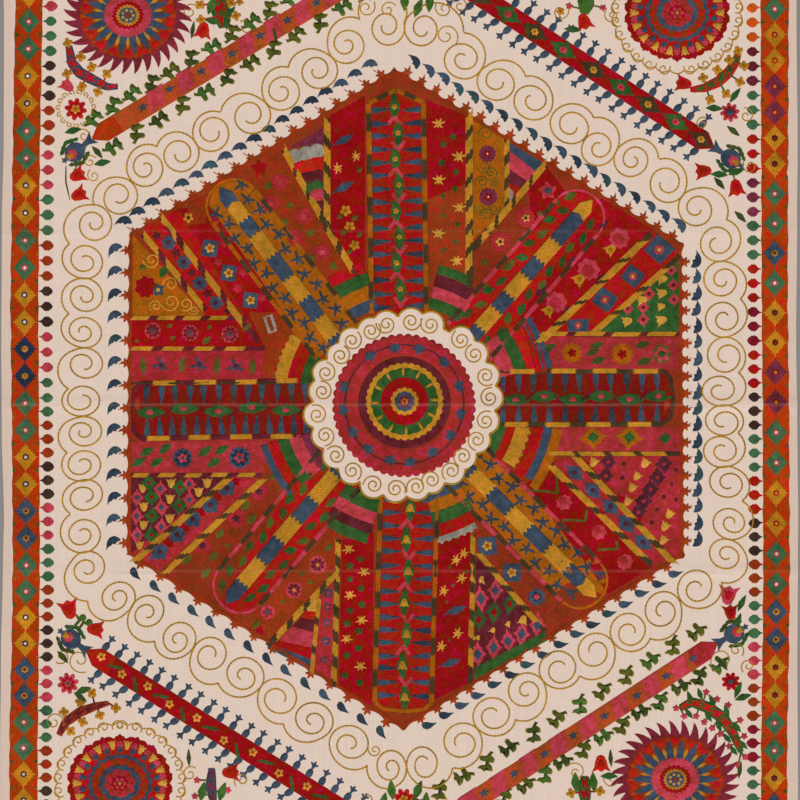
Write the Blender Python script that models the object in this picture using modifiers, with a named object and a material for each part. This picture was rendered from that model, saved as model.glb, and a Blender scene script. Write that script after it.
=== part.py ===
"""Suzani, a large embroidered cotton and silk textile that lies flat with its worked face up.

Six hand-loomed cotton strips are joined edge to edge and the silk embroidery is worked across them. Each strip is
one thin sheet. It lies flat, and it lifts a little where the cloth was folded away and where its edges ripple.
X runs across the cloth, Y along it and Z up out of the worked face. The origin is at the middle of the underside.
"""
import math

import bmesh
import bpy

# Driving sizes of the finished cloth, in metres
WIDTH = 1.700
LENGTH = 2.170
THICKNESS = 0.0020

# Widths of the loomed strips, from the left edge to the right one
STRIP_WIDTHS = (0.307, 0.275, 0.247, 0.292, 0.294, 0.285)
SEAM_GAP = 0.0003

# How far the hand-sewn joins wander from a straight line, and over what length
SEAM_WANDER = 0.0016
SEAM_WAVE = 0.61

# How far the outer edges draw in from the full size, read at places along the cloth from its middle
SIDE_EDGES = (
    {"y": -1.085, "left": 0.0012, "right": 0.0015},
    {"y": -0.780, "left": 0.0000, "right": 0.0004},
    {"y": -0.560, "left": 0.0022, "right": 0.0016},
    {"y": -0.330, "left": 0.0065, "right": 0.0006},
    {"y": -0.255, "left": 0.0085, "right": 0.0000},
    {"y": -0.060, "left": 0.0040, "right": 0.0018},
    {"y": 0.130, "left": 0.0030, "right": 0.0042},
    {"y": 0.380, "left": 0.0042, "right": 0.0022},
    {"y": 0.560, "left": 0.0080, "right": 0.0012},
    {"y": 0.790, "left": 0.0085, "right": 0.0034},
    {"y": 1.085, "left": 0.0048, "right": 0.0040},
)
END_EDGE_DRAW = 0.0035
END_EDGE_WAVE = 0.83

# Fold lines across the whole cloth: place along it, height of the ridge at each side, and half the ridge's width
CROSS_FOLDS = (
    {"y": 0.362, "left": 0.0008, "right": 0.0014, "half_width": 0.022},
    {"y": -0.008, "left": 0.0020, "right": 0.0034, "half_width": 0.026},
    {"y": -0.362, "left": 0.0010, "right": 0.0026, "half_width": 0.024},
)

# Short ripples that start at an outer edge: side, place along the cloth, reach inwards, height and half width
EDGE_RIPPLES = (
    {"side": -1, "y": 0.690, "reach": 0.045, "height": 0.0016, "half_width": 0.014},
    {"side": -1, "y": 0.495, "reach": 0.060, "height": 0.0014, "half_width": 0.016},
    {"side": -1, "y": 0.083, "reach": 0.045, "height": 0.0016, "half_width": 0.014},
    {"side": -1, "y": -0.124, "reach": 0.050, "height": 0.0018, "half_width": 0.015},
    {"side": -1, "y": -0.490, "reach": 0.055, "height": 0.0017, "half_width": 0.015},
    {"side": -1, "y": -0.754, "reach": 0.045, "height": 0.0014, "half_width": 0.014},
    {"side": 1, "y": 0.722, "reach": 0.050, "height": 0.0015, "half_width": 0.014},
    {"side": 1, "y": 0.503, "reach": 0.085, "height": 0.0022, "half_width": 0.019},
    {"side": 1, "y": 0.130, "reach": 0.050, "height": 0.0015, "half_width": 0.014},
    {"side": 1, "y": -0.100, "reach": 0.045, "height": 0.0015, "half_width": 0.014},
    {"side": 1, "y": -0.470, "reach": 0.055, "height": 0.0018, "half_width": 0.015},
    {"side": 1, "y": -0.807, "reach": 0.050, "height": 0.0016, "half_width": 0.014},
)

# Steps of the sheet's grid
ROW_STEP = 0.060
RIDGE_STEPS = (-1.0, -0.5, 0.0, 0.5, 1.0)
EDGE_COLUMNS = (0.0, 0.020, 0.045, 0.085)
COLUMNS_INSIDE = 3
SAME_ROW = 0.004

# The undyed cotton of the strips
COTTON_COLOUR = (0.763, 0.651, 0.565, 1.0)
COTTON_ROUGHNESS = 0.9


def remove_scene_objects():
    """Clear the scene so that the script gives the same result each time."""
    for item in list(bpy.data.objects):
        bpy.data.objects.remove(item, do_unlink=True)


def smooth_step(share):
    """Go from 0 to 1 with a level start and a level end."""
    held = min(max(share, 0.0), 1.0)
    return held * held * (3.0 - 2.0 * held)


def ridge(distance, half_width):
    """Return the height share of a soft ridge: 1 on its line and 0 from half its width outwards."""
    if abs(distance) >= half_width:
        return 0.0
    return 0.5 + 0.5 * math.cos(math.pi * distance / half_width)


def edge_draw(y, side_name):
    """Read how far a side edge draws in at y, in a smooth line between the rows of the table."""
    rows = SIDE_EDGES
    if y <= rows[0]["y"]:
        return rows[0][side_name]
    for low, high in zip(rows, rows[1:]):
        if y <= high["y"]:
            share = smooth_step((y - low["y"]) / (high["y"] - low["y"]))
            return low[side_name] + share * (high[side_name] - low[side_name])
    return rows[-1][side_name]


def seam_line(index, y):
    """Return the x of the join number index at y: join 0 is the left edge and the last is the right edge."""
    if index == 0:
        return -WIDTH / 2 + edge_draw(y, "left")
    if index == len(STRIP_WIDTHS):
        return WIDTH / 2 - edge_draw(y, "right")
    straight = -WIDTH / 2 + sum(STRIP_WIDTHS[:index])
    return straight + SEAM_WANDER * math.sin(2.0 * math.pi * y / SEAM_WAVE + 1.9 * index)


def end_line(x, side):
    """Return how far an end edge draws in at x. Both ends touch the full length somewhere."""
    wave = 0.5 - 0.5 * math.cos(2.0 * math.pi * (x - side * 0.11) / END_EDGE_WAVE)
    return END_EDGE_DRAW * wave


def lift(x, y):
    """Return the height of the sheet's underside above the surface that it lies on."""
    height = 0.0
    across = smooth_step(x / WIDTH + 0.5)
    for fold in CROSS_FOLDS:
        crest = fold["left"] + across * (fold["right"] - fold["left"])
        height += crest * ridge(y - fold["y"], fold["half_width"])
    for ripple in EDGE_RIPPLES:
        inwards = WIDTH / 2 - ripple["side"] * x
        fade = 1.0 - smooth_step(inwards / ripple["reach"])
        height += ripple["height"] * fade * ridge(y - ripple["y"], ripple["half_width"])
    return height


def row_places(side):
    """List the places of the grid's rows: even steps, and closer ones over the folds and this side's ripples."""
    count = round(LENGTH / ROW_STEP)
    even = [-LENGTH / 2 + LENGTH * step / count for step in range(count + 1)]
    bends = list(CROSS_FOLDS)
    bends += [ripple for ripple in EDGE_RIPPLES if ripple["side"] == side]
    close = [bend["y"] + step * bend["half_width"] for bend in bends for step in RIDGE_STEPS]
    places = sorted(close)
    for place in even:
        if min(abs(place - other) for other in close) > SAME_ROW:
            places.append(place)
    return sorted(places)


def column_shares(width, side):
    """List the grid's columns as shares of a strip's width, closer together at an outer edge of the cloth."""
    shares = [step / COLUMNS_INSIDE for step in range(COLUMNS_INSIDE + 1)]
    if side == 0:
        return shares
    near = [place / width for place in EDGE_COLUMNS]
    far = [near[-1] + (1.0 - near[-1]) * step / 2 for step in (1, 2)]
    outwards = near + far
    if side < 0:
        return outwards
    return sorted(1.0 - share for share in outwards)


def cotton_material(name):
    """Make the plain cotton's material."""
    material = bpy.data.materials.new(name)
    material.use_nodes = True
    shader = material.node_tree.nodes["Principled BSDF"]
    shader.inputs["Base Color"].default_value = COTTON_COLOUR
    shader.inputs["Roughness"].default_value = COTTON_ROUGHNESS
    shader.inputs["Metallic"].default_value = 0.0
    material.diffuse_color = COTTON_COLOUR
    return material


def place_grid_point(point, rows, shares, index):
    """Move one point of a unit grid to its place on the strip."""
    column = round((point.x + 0.5) * (len(shares) - 1))
    row = round((point.y + 0.5) * (len(rows) - 1))
    y = rows[row]
    left = seam_line(index, y)
    right = seam_line(index + 1, y)
    if index > 0:
        left += SEAM_GAP / 2
    if index < len(STRIP_WIDTHS) - 1:
        right -= SEAM_GAP / 2
    x = left + shares[column] * (right - left)
    if row == 0:
        y += end_line(x, -1)
    if row == len(rows) - 1:
        y -= end_line(x, 1)
    point.x = x
    point.y = y
    point.z = lift(x, y)


def build_strip(index, collection):
    """Make one loomed strip: a grid shaped to its edges and folds, then given its thickness upwards."""
    side = 0
    if index == 0:
        side = -1
    if index == len(STRIP_WIDTHS) - 1:
        side = 1
    rows = row_places(side)
    shares = column_shares(STRIP_WIDTHS[index], side)
    shape = bmesh.new()
    bmesh.ops.create_grid(shape, x_segments=len(shares) - 1, y_segments=len(rows) - 1, size=0.5)
    for vertex in shape.verts:
        place_grid_point(vertex.co, rows, shares, index)
    name = f"cotton_strip_{index + 1}"
    mesh = bpy.data.meshes.new(name)
    shape.to_mesh(mesh)
    shape.free()
    mesh.materials.append(cotton_material(name))
    mesh.shade_smooth()
    mesh.set_sharp_from_angle(angle=math.radians(30))
    strip = bpy.data.objects.new(name, mesh)
    collection.objects.link(strip)
    solid = strip.modifiers.new("thickness", "SOLIDIFY")
    solid.thickness = THICKNESS
    solid.offset = 1.0
    return strip


def build():
    """Make the cloth."""
    remove_scene_objects()
    collection = bpy.data.collections.new("suzani")
    bpy.context.scene.collection.children.link(collection)
    for index in range(len(STRIP_WIDTHS)):
        build_strip(index, collection)


build()
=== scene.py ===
import math

import bpy
import numpy as np
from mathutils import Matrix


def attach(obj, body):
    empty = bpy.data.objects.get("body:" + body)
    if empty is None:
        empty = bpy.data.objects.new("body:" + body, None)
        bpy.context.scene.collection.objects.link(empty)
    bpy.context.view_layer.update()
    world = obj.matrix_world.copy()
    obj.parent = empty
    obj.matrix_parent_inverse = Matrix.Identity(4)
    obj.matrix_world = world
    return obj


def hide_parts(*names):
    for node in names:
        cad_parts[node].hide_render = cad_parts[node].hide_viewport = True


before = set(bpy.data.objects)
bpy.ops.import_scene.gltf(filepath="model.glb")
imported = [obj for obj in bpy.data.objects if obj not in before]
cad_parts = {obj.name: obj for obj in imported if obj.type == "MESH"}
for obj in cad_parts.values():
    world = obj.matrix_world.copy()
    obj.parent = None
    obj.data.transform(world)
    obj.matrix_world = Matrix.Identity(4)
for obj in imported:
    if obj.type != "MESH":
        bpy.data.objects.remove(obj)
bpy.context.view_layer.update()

# Studio: a plain grey floor under soft, even light, and a camera straight above the cloth.
# The picture is square and shows the cloth's whole width. Both of its ends run out of the picture.
PICTURE_WIDTH = 1.704
PICTURE_MIDDLE = (0.0021, 0.0021)
LENS_MM = 90.0
FLOOR_SIZE = 14.0
FLOOR_DROP = 0.0004
FLOOR_HEX = "#84817E"
KEY_STRENGTH = 1.95
KEY_SOFTNESS = math.radians(32)
KEY_DIRECTION = (math.radians(38), math.radians(-14), math.radians(28))
FILL_STRENGTH = 0.55


def linear(hex_colour, shade=1.0):
    """Turn an sRGB hex colour to linear light: a low part divided by 12.92 and a high part on a 2.4 power.

    shade multiplies all three parts. The alpha is 1.
    """
    parts = np.array([int(hex_colour[place:place + 2], 16) for place in (1, 3, 5)]) / 255.0
    light = np.where(parts <= 0.04045, parts / 12.92, ((parts + 0.055) / 1.055) ** 2.4)
    return (*(light * shade), 1.0)


def node(tree, kind, settings=None, feeds=None):
    """Add one shader node. settings sets its properties, or its operation where it is one word.

    feeds gives each input a value, another node's output, or another node, whose first output it takes.
    """
    made = tree.nodes.new("ShaderNode" + kind)
    if isinstance(settings, str):
        settings = {"operation": settings}
    for name, value in (settings or {}).items():
        setattr(made, name, value)
    for name, value in (feeds or {}).items():
        if isinstance(value, bpy.types.Node):
            value = value.outputs[0]
        if isinstance(value, bpy.types.NodeSocket):
            tree.links.new(value, made.inputs[name])
        else:
            made.inputs[name].default_value = value
    return made


def new_material(name):
    """Start a material and return it with its node tree and its Principled shader."""
    material = bpy.data.materials.new(name)
    material.use_nodes = True
    return material, material.node_tree, material.node_tree.nodes["Principled BSDF"]


def make_floor():
    """Lay a matt painted floor just under the cloth."""
    corners = FLOOR_SIZE / 2 * np.array(((-1, -1), (1, -1), (1, 1), (-1, 1)), float)
    points = np.column_stack((corners, np.full(4, -FLOOR_DROP)))
    mesh = bpy.data.meshes.new("studio_floor")
    mesh.from_pydata(points.tolist(), [], [(0, 1, 2, 3)])
    material, tree, shader = new_material("matt_floor_paint")
    where = node(tree, "TexCoord").outputs["Object"]
    mottle = node(tree, "TexNoise", feeds={"Vector": where, "Scale": 3.0, "Detail": 3.0})
    tones = {0: mottle, 6: linear(FLOOR_HEX, 0.94), 7: linear(FLOOR_HEX, 1.06)}
    tint = node(tree, "Mix", {"data_type": "RGBA"}, tones)
    tree.links.new(tint.outputs[2], shader.inputs["Base Color"])
    shader.inputs["Roughness"].default_value = 0.85
    mesh.materials.append(material)
    floor = bpy.data.objects.new("studio_floor", mesh)
    bpy.context.scene.collection.objects.link(floor)


def make_light_and_camera():
    """Set a wide soft key light, an even fill from all round, and the camera above the cloth."""
    scene = bpy.context.scene
    key = bpy.data.lights.new("key", "SUN")
    key.energy = KEY_STRENGTH
    key.angle = KEY_SOFTNESS
    lamp = bpy.data.objects.new("key", key)
    lamp.rotation_euler = KEY_DIRECTION
    scene.collection.objects.link(lamp)
    world = bpy.data.worlds.new("studio")
    world.use_nodes = True
    world.node_tree.nodes["Background"].inputs["Color"].default_value = (1.0, 1.0, 1.0, 1.0)
    world.node_tree.nodes["Background"].inputs["Strength"].default_value = FILL_STRENGTH
    scene.world = world
    camera = bpy.data.cameras.new("camera")
    camera.lens = LENS_MM
    height = PICTURE_WIDTH * LENS_MM / camera.sensor_width
    stand = bpy.data.objects.new("camera", camera)
    stand.location = (*PICTURE_MIDDLE, height)
    scene.collection.objects.link(stand)
    scene.camera = stand
    scene.view_settings.view_transform = "Standard"


make_floor()
make_light_and_camera()

# Ground cloth: six hand-loomed strips of undyed cotton, sewn edge to edge into one thin cloth.
# It lies flat, with soft ridges where it was folded away and puckers where the dense silk draws it in.
WIDTH = 1.700
LENGTH = 2.170
COTTON = 0.0009
STRIP_WIDTHS = (0.307, 0.275, 0.247, 0.292, 0.294, 0.285)
SEAM_WANDER = 0.0016
SEAM_WAVE = 0.61
SEAM_SUNK = 0.00030
SEAM_HALF = 0.0010
COTTON_HEX = "#DFCABC"
COTTON_PINK_HEX = "#DFC1B5"
COTTON_YELLOW_HEX = "#D8C7B0"
# Painted shadow: the dark colour mixed into the cotton beside each fold line
FOLD_SHADOW_HEX = "#8E7C6E"
MARGIN_HEX = "#C8AC9C"

# How far the side edges draw in from the full size: place along the cloth from its middle, left, right
SIDE_EDGES = (
    (-1.085, 0.0012, 0.0015), (-0.780, 0.0000, 0.0004), (-0.560, 0.0022, 0.0016), (-0.330, 0.0065, 0.0006),
    (-0.255, 0.0085, 0.0000), (-0.060, 0.0040, 0.0018), (0.130, 0.0030, 0.0042), (0.380, 0.0042, 0.0022),
    (0.560, 0.0080, 0.0012), (0.790, 0.0085, 0.0034), (1.085, 0.0048, 0.0040),
)
END_EDGE_DRAW = 0.0035
END_EDGE_WAVE = 0.83

# Fold lines across the whole cloth: place along it, height of the ridge at its left and right, half its width
CROSS_FOLDS = (
    (0.362, 0.0008, 0.0014, 0.022), (-0.008, 0.0020, 0.0034, 0.026), (-0.362, 0.0010, 0.0026, 0.024),
)

# Short ripples that start at an outer edge: side, place along the cloth, reach inwards, height and half width
EDGE_RIPPLES = (
    (-1, 0.690, 0.045, 0.0016, 0.014), (-1, 0.495, 0.060, 0.0014, 0.016), (-1, 0.083, 0.045, 0.0016, 0.014),
    (-1, -0.124, 0.050, 0.0018, 0.015), (-1, -0.490, 0.055, 0.0017, 0.015),
    (-1, -0.754, 0.045, 0.0014, 0.014), (1, 0.722, 0.050, 0.0015, 0.014), (1, 0.503, 0.085, 0.0022, 0.019),
    (1, 0.130, 0.050, 0.0015, 0.014), (1, -0.100, 0.045, 0.0015, 0.014), (1, -0.470, 0.055, 0.0018, 0.015),
    (1, -0.807, 0.050, 0.0016, 0.014),
)

# Puckers: shallow waves that cross each other, with their length, the way they run and their height
PUCKERS = (
    (0.083, 0.4, 0.00010), (0.061, 1.7, 0.00008), (0.117, 2.6, 0.00013), (0.043, 0.9, 0.00005),
)
GROUND_STEP = 0.0165
FOLD_STEP = 0.0042
# Real threads lie 0.7 mm apart. They are drawn farther apart, so that they show.
THREAD_STEP = 0.0016


def smooth_step(share):
    """Three times the square less twice the cube: from 0 to 1 with a level start and end."""
    held = np.clip(share, 0.0, 1.0)
    return held * held * (3.0 - 2.0 * held)


def ridge(distance, half_width):
    """Half a cosine wave: 1 on the ridge's line and 0 from half its width outwards."""
    near = np.minimum(np.abs(distance) / half_width, 1.0)
    return 0.5 + 0.5 * np.cos(math.pi * near)


def edge_draw(y, side):
    """How far a side edge draws in at y: smooth steps from each row of the table to the next.

    side is the table's column: 1 for the left edge and 2 for the right one.
    """
    drawn = np.full(np.shape(y), SIDE_EDGES[0][side])
    for low, high in zip(SIDE_EDGES, SIDE_EDGES[1:]):
        share = smooth_step((y - low[0]) / (high[0] - low[0]))
        drawn = drawn + share * (high[side] - low[side])
    return drawn


def seam_line(index, y):
    """The x of a join at y: a straight line that wanders with a sine. The first and last are outer edges."""
    if index == 0:
        return -WIDTH / 2 + edge_draw(y, 1)
    if index == len(STRIP_WIDTHS):
        return WIDTH / 2 - edge_draw(y, 2)
    straight = -WIDTH / 2 + sum(STRIP_WIDTHS[:index])
    return straight + SEAM_WANDER * np.sin(2.0 * math.pi * y / SEAM_WAVE + 1.9 * index)


def lift(x, y):
    """Height of the cloth's underside: ridges of the folds, ripples at the edges and crossing puckers."""
    height = np.zeros(np.broadcast(x, y).shape)
    across = smooth_step(x / WIDTH + 0.5)
    for place, left, right, half in CROSS_FOLDS:
        crest = left + across * (right - left)
        height = height + crest * ridge(y - place, half)
    for side, place, reach, crest, half in EDGE_RIPPLES:
        inwards = WIDTH / 2 - side * x
        fade = 1.0 - smooth_step(inwards / reach)
        height = height + crest * fade * ridge(y - place, half)
    for length, way, crest in PUCKERS:
        run = x * math.cos(way) + y * math.sin(way)
        height = height + crest * (1.0 + np.sin(2.0 * math.pi * run / length))
    return height


def cloth_top(x, y):
    """Height of the cloth's upper face."""
    return COTTON + lift(x, y)


def ground_rows():
    """Places of the grid's rows: even steps, and closer ones over each fold."""
    rows = list(np.linspace(-LENGTH / 2, LENGTH / 2, round(LENGTH / GROUND_STEP) + 1))
    for place, _, _, half in CROSS_FOLDS:
        rows = [row for row in rows if abs(row - place) > half]
        rows += list(np.linspace(place - half, place + half, round(2 * half / FOLD_STEP) + 1))
    return np.array(sorted(rows))


def ground_columns():
    """Places of the grid's columns: strip number and share of its width, with close ones beside each seam."""
    columns = [0.0]
    for index, width in enumerate(STRIP_WIDTHS):
        seam = SEAM_HALF / width
        inside = np.linspace(3 * seam, 1 - 3 * seam, round(width / GROUND_STEP))
        columns += list(index + np.concatenate(([seam], inside, [1 - seam, 1.0])))
    return np.array(columns)


def grid_faces(rows, columns, loop_rows=False, loop_columns=False):
    """Two triangles for each cell of a grid kept row by row. A looped side joins its end to its start."""
    last_row = rows if loop_rows else rows - 1
    last_column = columns if loop_columns else columns - 1
    row, column = np.meshgrid(np.arange(last_row), np.arange(last_column), indexing="ij")
    next_row = (row + 1) % rows
    next_column = (column + 1) % columns
    cell = (row * columns + column, row * columns + next_column,
            next_row * columns + next_column, next_row * columns + column)
    square = np.stack(cell, -1).reshape(-1, 4)
    return np.vstack((square[:, [0, 1, 2]], square[:, [0, 2, 3]]))


def fill_mesh(name, points, faces):
    """Put whole arrays of points and triangles into a new mesh."""
    mesh = bpy.data.meshes.new(name)
    mesh.vertices.add(len(points))
    mesh.vertices.foreach_set("co", points.astype(np.float32).ravel())
    mesh.loops.add(faces.size)
    mesh.loops.foreach_set("vertex_index", faces.astype(np.int32).ravel())
    mesh.polygons.add(len(faces))
    mesh.polygons.foreach_set("loop_start", np.arange(0, faces.size, 3, dtype=np.int32))
    mesh.update(calc_edges=True)
    mesh.shade_smooth()
    return mesh


def cotton_material():
    """Hand-loomed cotton: matt, with plain weave, slubs along the threads, stains and painted shade by the
    folds.
    """
    material, tree, shader = new_material("handloom_cotton")
    where = node(tree, "TexCoord").outputs["Object"]
    apart = node(tree, "SeparateXYZ", feeds={0: where})
    threads = []
    for axis in ("X", "Y"):
        turn = node(tree, "Math", "MULTIPLY", {0: apart.outputs[axis], 1: math.pi / THREAD_STEP})
        wave = node(tree, "Math", "SINE", {0: turn})
        threads.append(node(tree, "Math", "ABSOLUTE", {0: wave}))
    weave = node(tree, "Math", "ADD", {0: threads[0], 1: threads[1]})
    slubs = []
    for stretch in ((260.0, 5.0, 1.0), (12.0, 420.0, 1.0)):
        pull = node(tree, "Mapping", feeds={"Vector": where, "Scale": stretch})
        slubs.append(node(tree, "TexNoise", feeds={"Vector": pull, "Scale": 1.0, "Detail": 2.0}))
    slub = node(tree, "Math", "ADD", {0: slubs[0], 1: slubs[1]})
    stain = node(tree, "TexNoise", feeds={"Vector": where, "Scale": 5.5, "Detail": 4.0, "Roughness": 0.6})
    blush = {0: stain, 6: linear(COTTON_PINK_HEX), 7: linear(COTTON_YELLOW_HEX)}
    warm = node(tree, "Mix", {"data_type": "RGBA"}, blush)
    even = node(tree, "Mix", {"data_type": "RGBA"}, {0: 0.45, 6: warm.outputs[2], 7: linear(COTTON_HEX)})
    shade = node(tree, "MapRange", feeds={0: slub, 1: 0.7, 2: 1.3, 3: 0.945, 4: 1.04})
    toned = node(tree, "VectorMath", "SCALE", {0: even.outputs[2], "Scale": shade})
    side = node(tree, "Math", "ABSOLUTE", {0: apart.outputs["X"]})
    margin = node(tree, "MapRange", feeds={0: side, 1: 0.80, 2: 0.83, 3: 0.0, 4: 0.5})
    handled = node(tree, "Mix", {"data_type": "RGBA"}, {0: margin, 6: toned, 7: linear(MARGIN_HEX)})
    colour = handled.outputs[2]
    patchy = node(tree, "TexNoise", feeds={"Vector": where, "Scale": 9.0, "Detail": 2.0})
    # Painted shadow: beside each fold line the cotton is mixed, in patches, towards a dark grey-brown.
    for place, *_ in CROSS_FOLDS:
        away = node(tree, "Math", "SUBTRACT", {0: apart.outputs["Y"], 1: place - 0.003})
        gap = node(tree, "Math", "ABSOLUTE", {0: away})
        line = node(tree, "MapRange", feeds={0: gap, 1: 0.0, 2: 0.005, 3: 1.0, 4: 0.0})
        blotches = node(tree, "MapRange", feeds={0: patchy, 1: 0.42, 2: 0.6, 3: 0.0, 4: 0.18})
        share = node(tree, "Math", "MULTIPLY", {0: line, 1: blotches})
        fold_shadowed = node(tree, "Mix", {"data_type": "RGBA"}, {0: share, 6: colour, 7: linear(FOLD_SHADOW_HEX)})
        colour = fold_shadowed.outputs[2]
    tree.links.new(colour, shader.inputs["Base Color"])
    rough = node(tree, "Math", "ADD", {0: weave, 1: slub})
    bump = node(tree, "Bump", feeds={"Height": rough, "Strength": 0.35, "Distance": 0.0004})
    tree.links.new(bump.outputs[0], shader.inputs["Normal"])
    shader.inputs["Roughness"].default_value = 0.92
    shader.inputs["Specular IOR Level"].default_value = 0.2
    shader.inputs["Sheen Weight"].default_value = 0.15
    return material


def make_ground():
    """Make the cloth: an upper and a lower grid, one cotton's thickness apart, and a rim."""
    rows = ground_rows()
    places = ground_columns()
    y, column = np.meshgrid(rows, places, indexing="ij")
    strip = np.minimum(column.astype(int), len(STRIP_WIDTHS) - 1)
    seams = np.stack([seam_line(index, rows) for index in range(len(STRIP_WIDTHS) + 1)], -1)
    row_number = np.arange(len(rows))[:, None]
    left = seams[row_number, strip]
    right = seams[row_number, strip + 1]
    x = left + (column - strip) * (right - left)
    for end, row in ((-1, 0), (1, -1)):
        wave = 0.5 - 0.5 * np.cos(2.0 * math.pi * (x[row] - end * 0.11) / END_EDGE_WAVE)
        y[row] -= end * END_EDGE_DRAW * wave
    inner = (column % 1.0 == 0.0) & (column > 0.0) & (column < len(STRIP_WIDTHS))
    under = lift(x, y)
    over = under + COTTON - np.where(inner, SEAM_SUNK, 0.0)
    top = np.stack((x, y, over), -1).reshape(-1, 3)
    low = np.stack((x, y, under), -1).reshape(-1, 3)
    count = len(top)
    sheet = grid_faces(len(rows), len(places))
    number = np.arange(count).reshape(len(rows), len(places))
    rim = np.concatenate((number[0, :-1], number[:-1, -1], number[-1, :0:-1], number[:0:-1, 0]))
    ahead = np.roll(rim, -1)
    wall = np.stack((rim + count, ahead + count, ahead, rim), -1)
    faces = np.vstack((sheet, sheet[:, ::-1] + count, wall[:, [0, 1, 2]], wall[:, [0, 2, 3]]))
    mesh = fill_mesh("cotton_ground", np.vstack((top, low)), faces)
    mesh.materials.append(cotton_material())
    ground = bpy.data.objects.new("cotton_ground", mesh)
    bpy.context.scene.collection.objects.link(ground)
    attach(ground, "root")
    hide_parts(*[f"cotton_strip_{index + 1}" for index in range(len(STRIP_WIDTHS))])
    return ground


ground = make_ground()

# Border band: a solid orange band inside the plain margin, in laid and couched silk, as all fillings are.
# Stepped diamonds in pairs of green, yellow, blue and purple run down its middle, with specks at its edges.
CHART_SQUARES = 798
SQUARE = WIDTH / CHART_SQUARES
CHART_MIDDLE = (399.0, 401.0)
LAYER = 0.00026
SILK_RISE = 0.00042
ROOT = -0.00034
PAD_RINGS = ((1.0, None), (1.0, 0.42), (0.84, 0.86), (0.5, 1.0))
SMALL_RINGS = ((1.0, None), (0.96, 0.62))
SMALL_REACH = 0.0130
DYES = {"cream": "#D8C4B2", "orange": "#AC360C", "bright orange": "#C04E16", "crimson": "#900C12",
        "red": "#A0140F", "scarlet": "#B01C14", "arm red": "#98180F", "deep red": "#76180F",
        "rust": "#8E3214", "brick": "#883018", "pink": "#A0282E", "old rose": "#9C2C30", "rose": "#B23A46",
        "maroon": "#5E2028", "purple": "#6E2A3C", "plum": "#4E2430", "ochre": "#A2560E", "amber": "#9C540F",
        "yellow": "#B27A24", "lemon": "#C28C38", "gold": "#A67A1A", "green": "#315427", "leaf": "#3E6026",
        "olive": "#515620", "moss": "#3C4820", "teal": "#344A50", "slate": "#3A4757", "navy": "#252E40",
        "brown": "#3C2A24", "umber": "#443622", "grey": "#8E867A", "jade": "#3E6242", "honey": "#B4761A",
        "finial": "#9A3C18", "claret": "#781626", "terracotta": "#A2441E", "gold green": "#746A1E",
        "fern": "#43622A", "dusk": "#34404A", "wine": "#7A2634", "ink": "#2F3B48", "steel": "#3C4A59"}
LETTERS = {"G": "jade", "Y": "honey", "B": "navy", "U": "purple", "P": "rose", "R": "rust", "D": "brown",
           "E": "red", "O": "bright orange", "S": "slate", "M": "maroon", "C": "claret",
           "H": "honey", "A": "honey"}
dye_lots = np.random.default_rng(11)


def spot(column, row):
    """Place on the cloth, in metres, of a square of the chart: columns run right and rows run down."""
    return np.stack(((np.asarray(column, float) - CHART_MIDDLE[0]) * SQUARE,
                     (CHART_MIDDLE[1] - np.asarray(row, float)) * SQUARE), -1)


def new_work(moved=None):
    """Start an empty piece of work, filled shape by shape and made one mesh. moved shifts its points."""
    return {"points": [], "faces": [], "dye": [], "stitch": [], "count": 0, "moved": moved}


def put(work, places, rises, faces, layer, dye, stitch):
    """Add one closed shape. Each point stands on the cloth's height, plus its layer's, plus its own rise."""
    if work["moved"]:
        places = work["moved"](places)
    height = cloth_top(places[:, 0], places[:, 1]) + layer * LAYER + rises
    work["points"].append(np.column_stack((places, height)))
    work["faces"].append(faces + work["count"])
    lot = linear(DYES[dye], dye_lots.uniform(0.90, 1.08))
    work["dye"].append(np.tile(lot, (len(places), 1)))
    work["stitch"].append(stitch)
    work["count"] += len(places)


def turned(points, degrees):
    """Turn points about the origin: the cosine and sine of the angle, anticlockwise."""
    angle = math.radians(degrees)
    spin = np.array(((math.cos(angle), math.sin(angle)), (-math.sin(angle), math.cos(angle))))
    return points @ spin


def pad(work, at, outline, size, turn, dye, layer=0, rise=SILK_RISE, grain=0.0):
    """Patch of stitches: rings of its outline, each drawn in and a little higher, and two fans.

    at is its middle on the chart. outline goes anticlockwise at about unit size. size is in chart squares.
    """
    shape = outline * np.asarray(size, float) * SQUARE
    if np.prod(np.broadcast_to(size, 2)) < 0:
        shape = shape[::-1]
    count = len(shape)
    drawn = SMALL_RINGS if np.abs(shape).max() < SMALL_REACH else PAD_RINGS
    rings = np.concatenate([shape * share for share, _ in drawn] + [np.zeros((2, 2))])
    heights = [ROOT if height is None else height * rise for _, height in drawn]
    rises = np.concatenate([np.full(count, height) for height in heights] + [[rise, ROOT]])
    faces = grid_faces(len(drawn), count, loop_columns=True)
    rim = np.arange(count)
    ahead = (rim + 1) % count
    crown = (len(drawn) - 1) * count
    middle = np.full(count, len(drawn) * count)
    top = np.stack((rim + crown, ahead + crown, middle), -1)
    root = np.stack((ahead, rim, middle + 1), -1)
    places = turned(rings, turn) + spot(*at)
    put(work, places, rises, np.vstack((faces, top, root)), layer, dye, turned(rings, grain))


def distances(path):
    """Distance along a path of each of its points, from its start."""
    return np.concatenate(([0.0], np.cumsum(np.linalg.norm(np.diff(path, axis=0), axis=1))))


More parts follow.
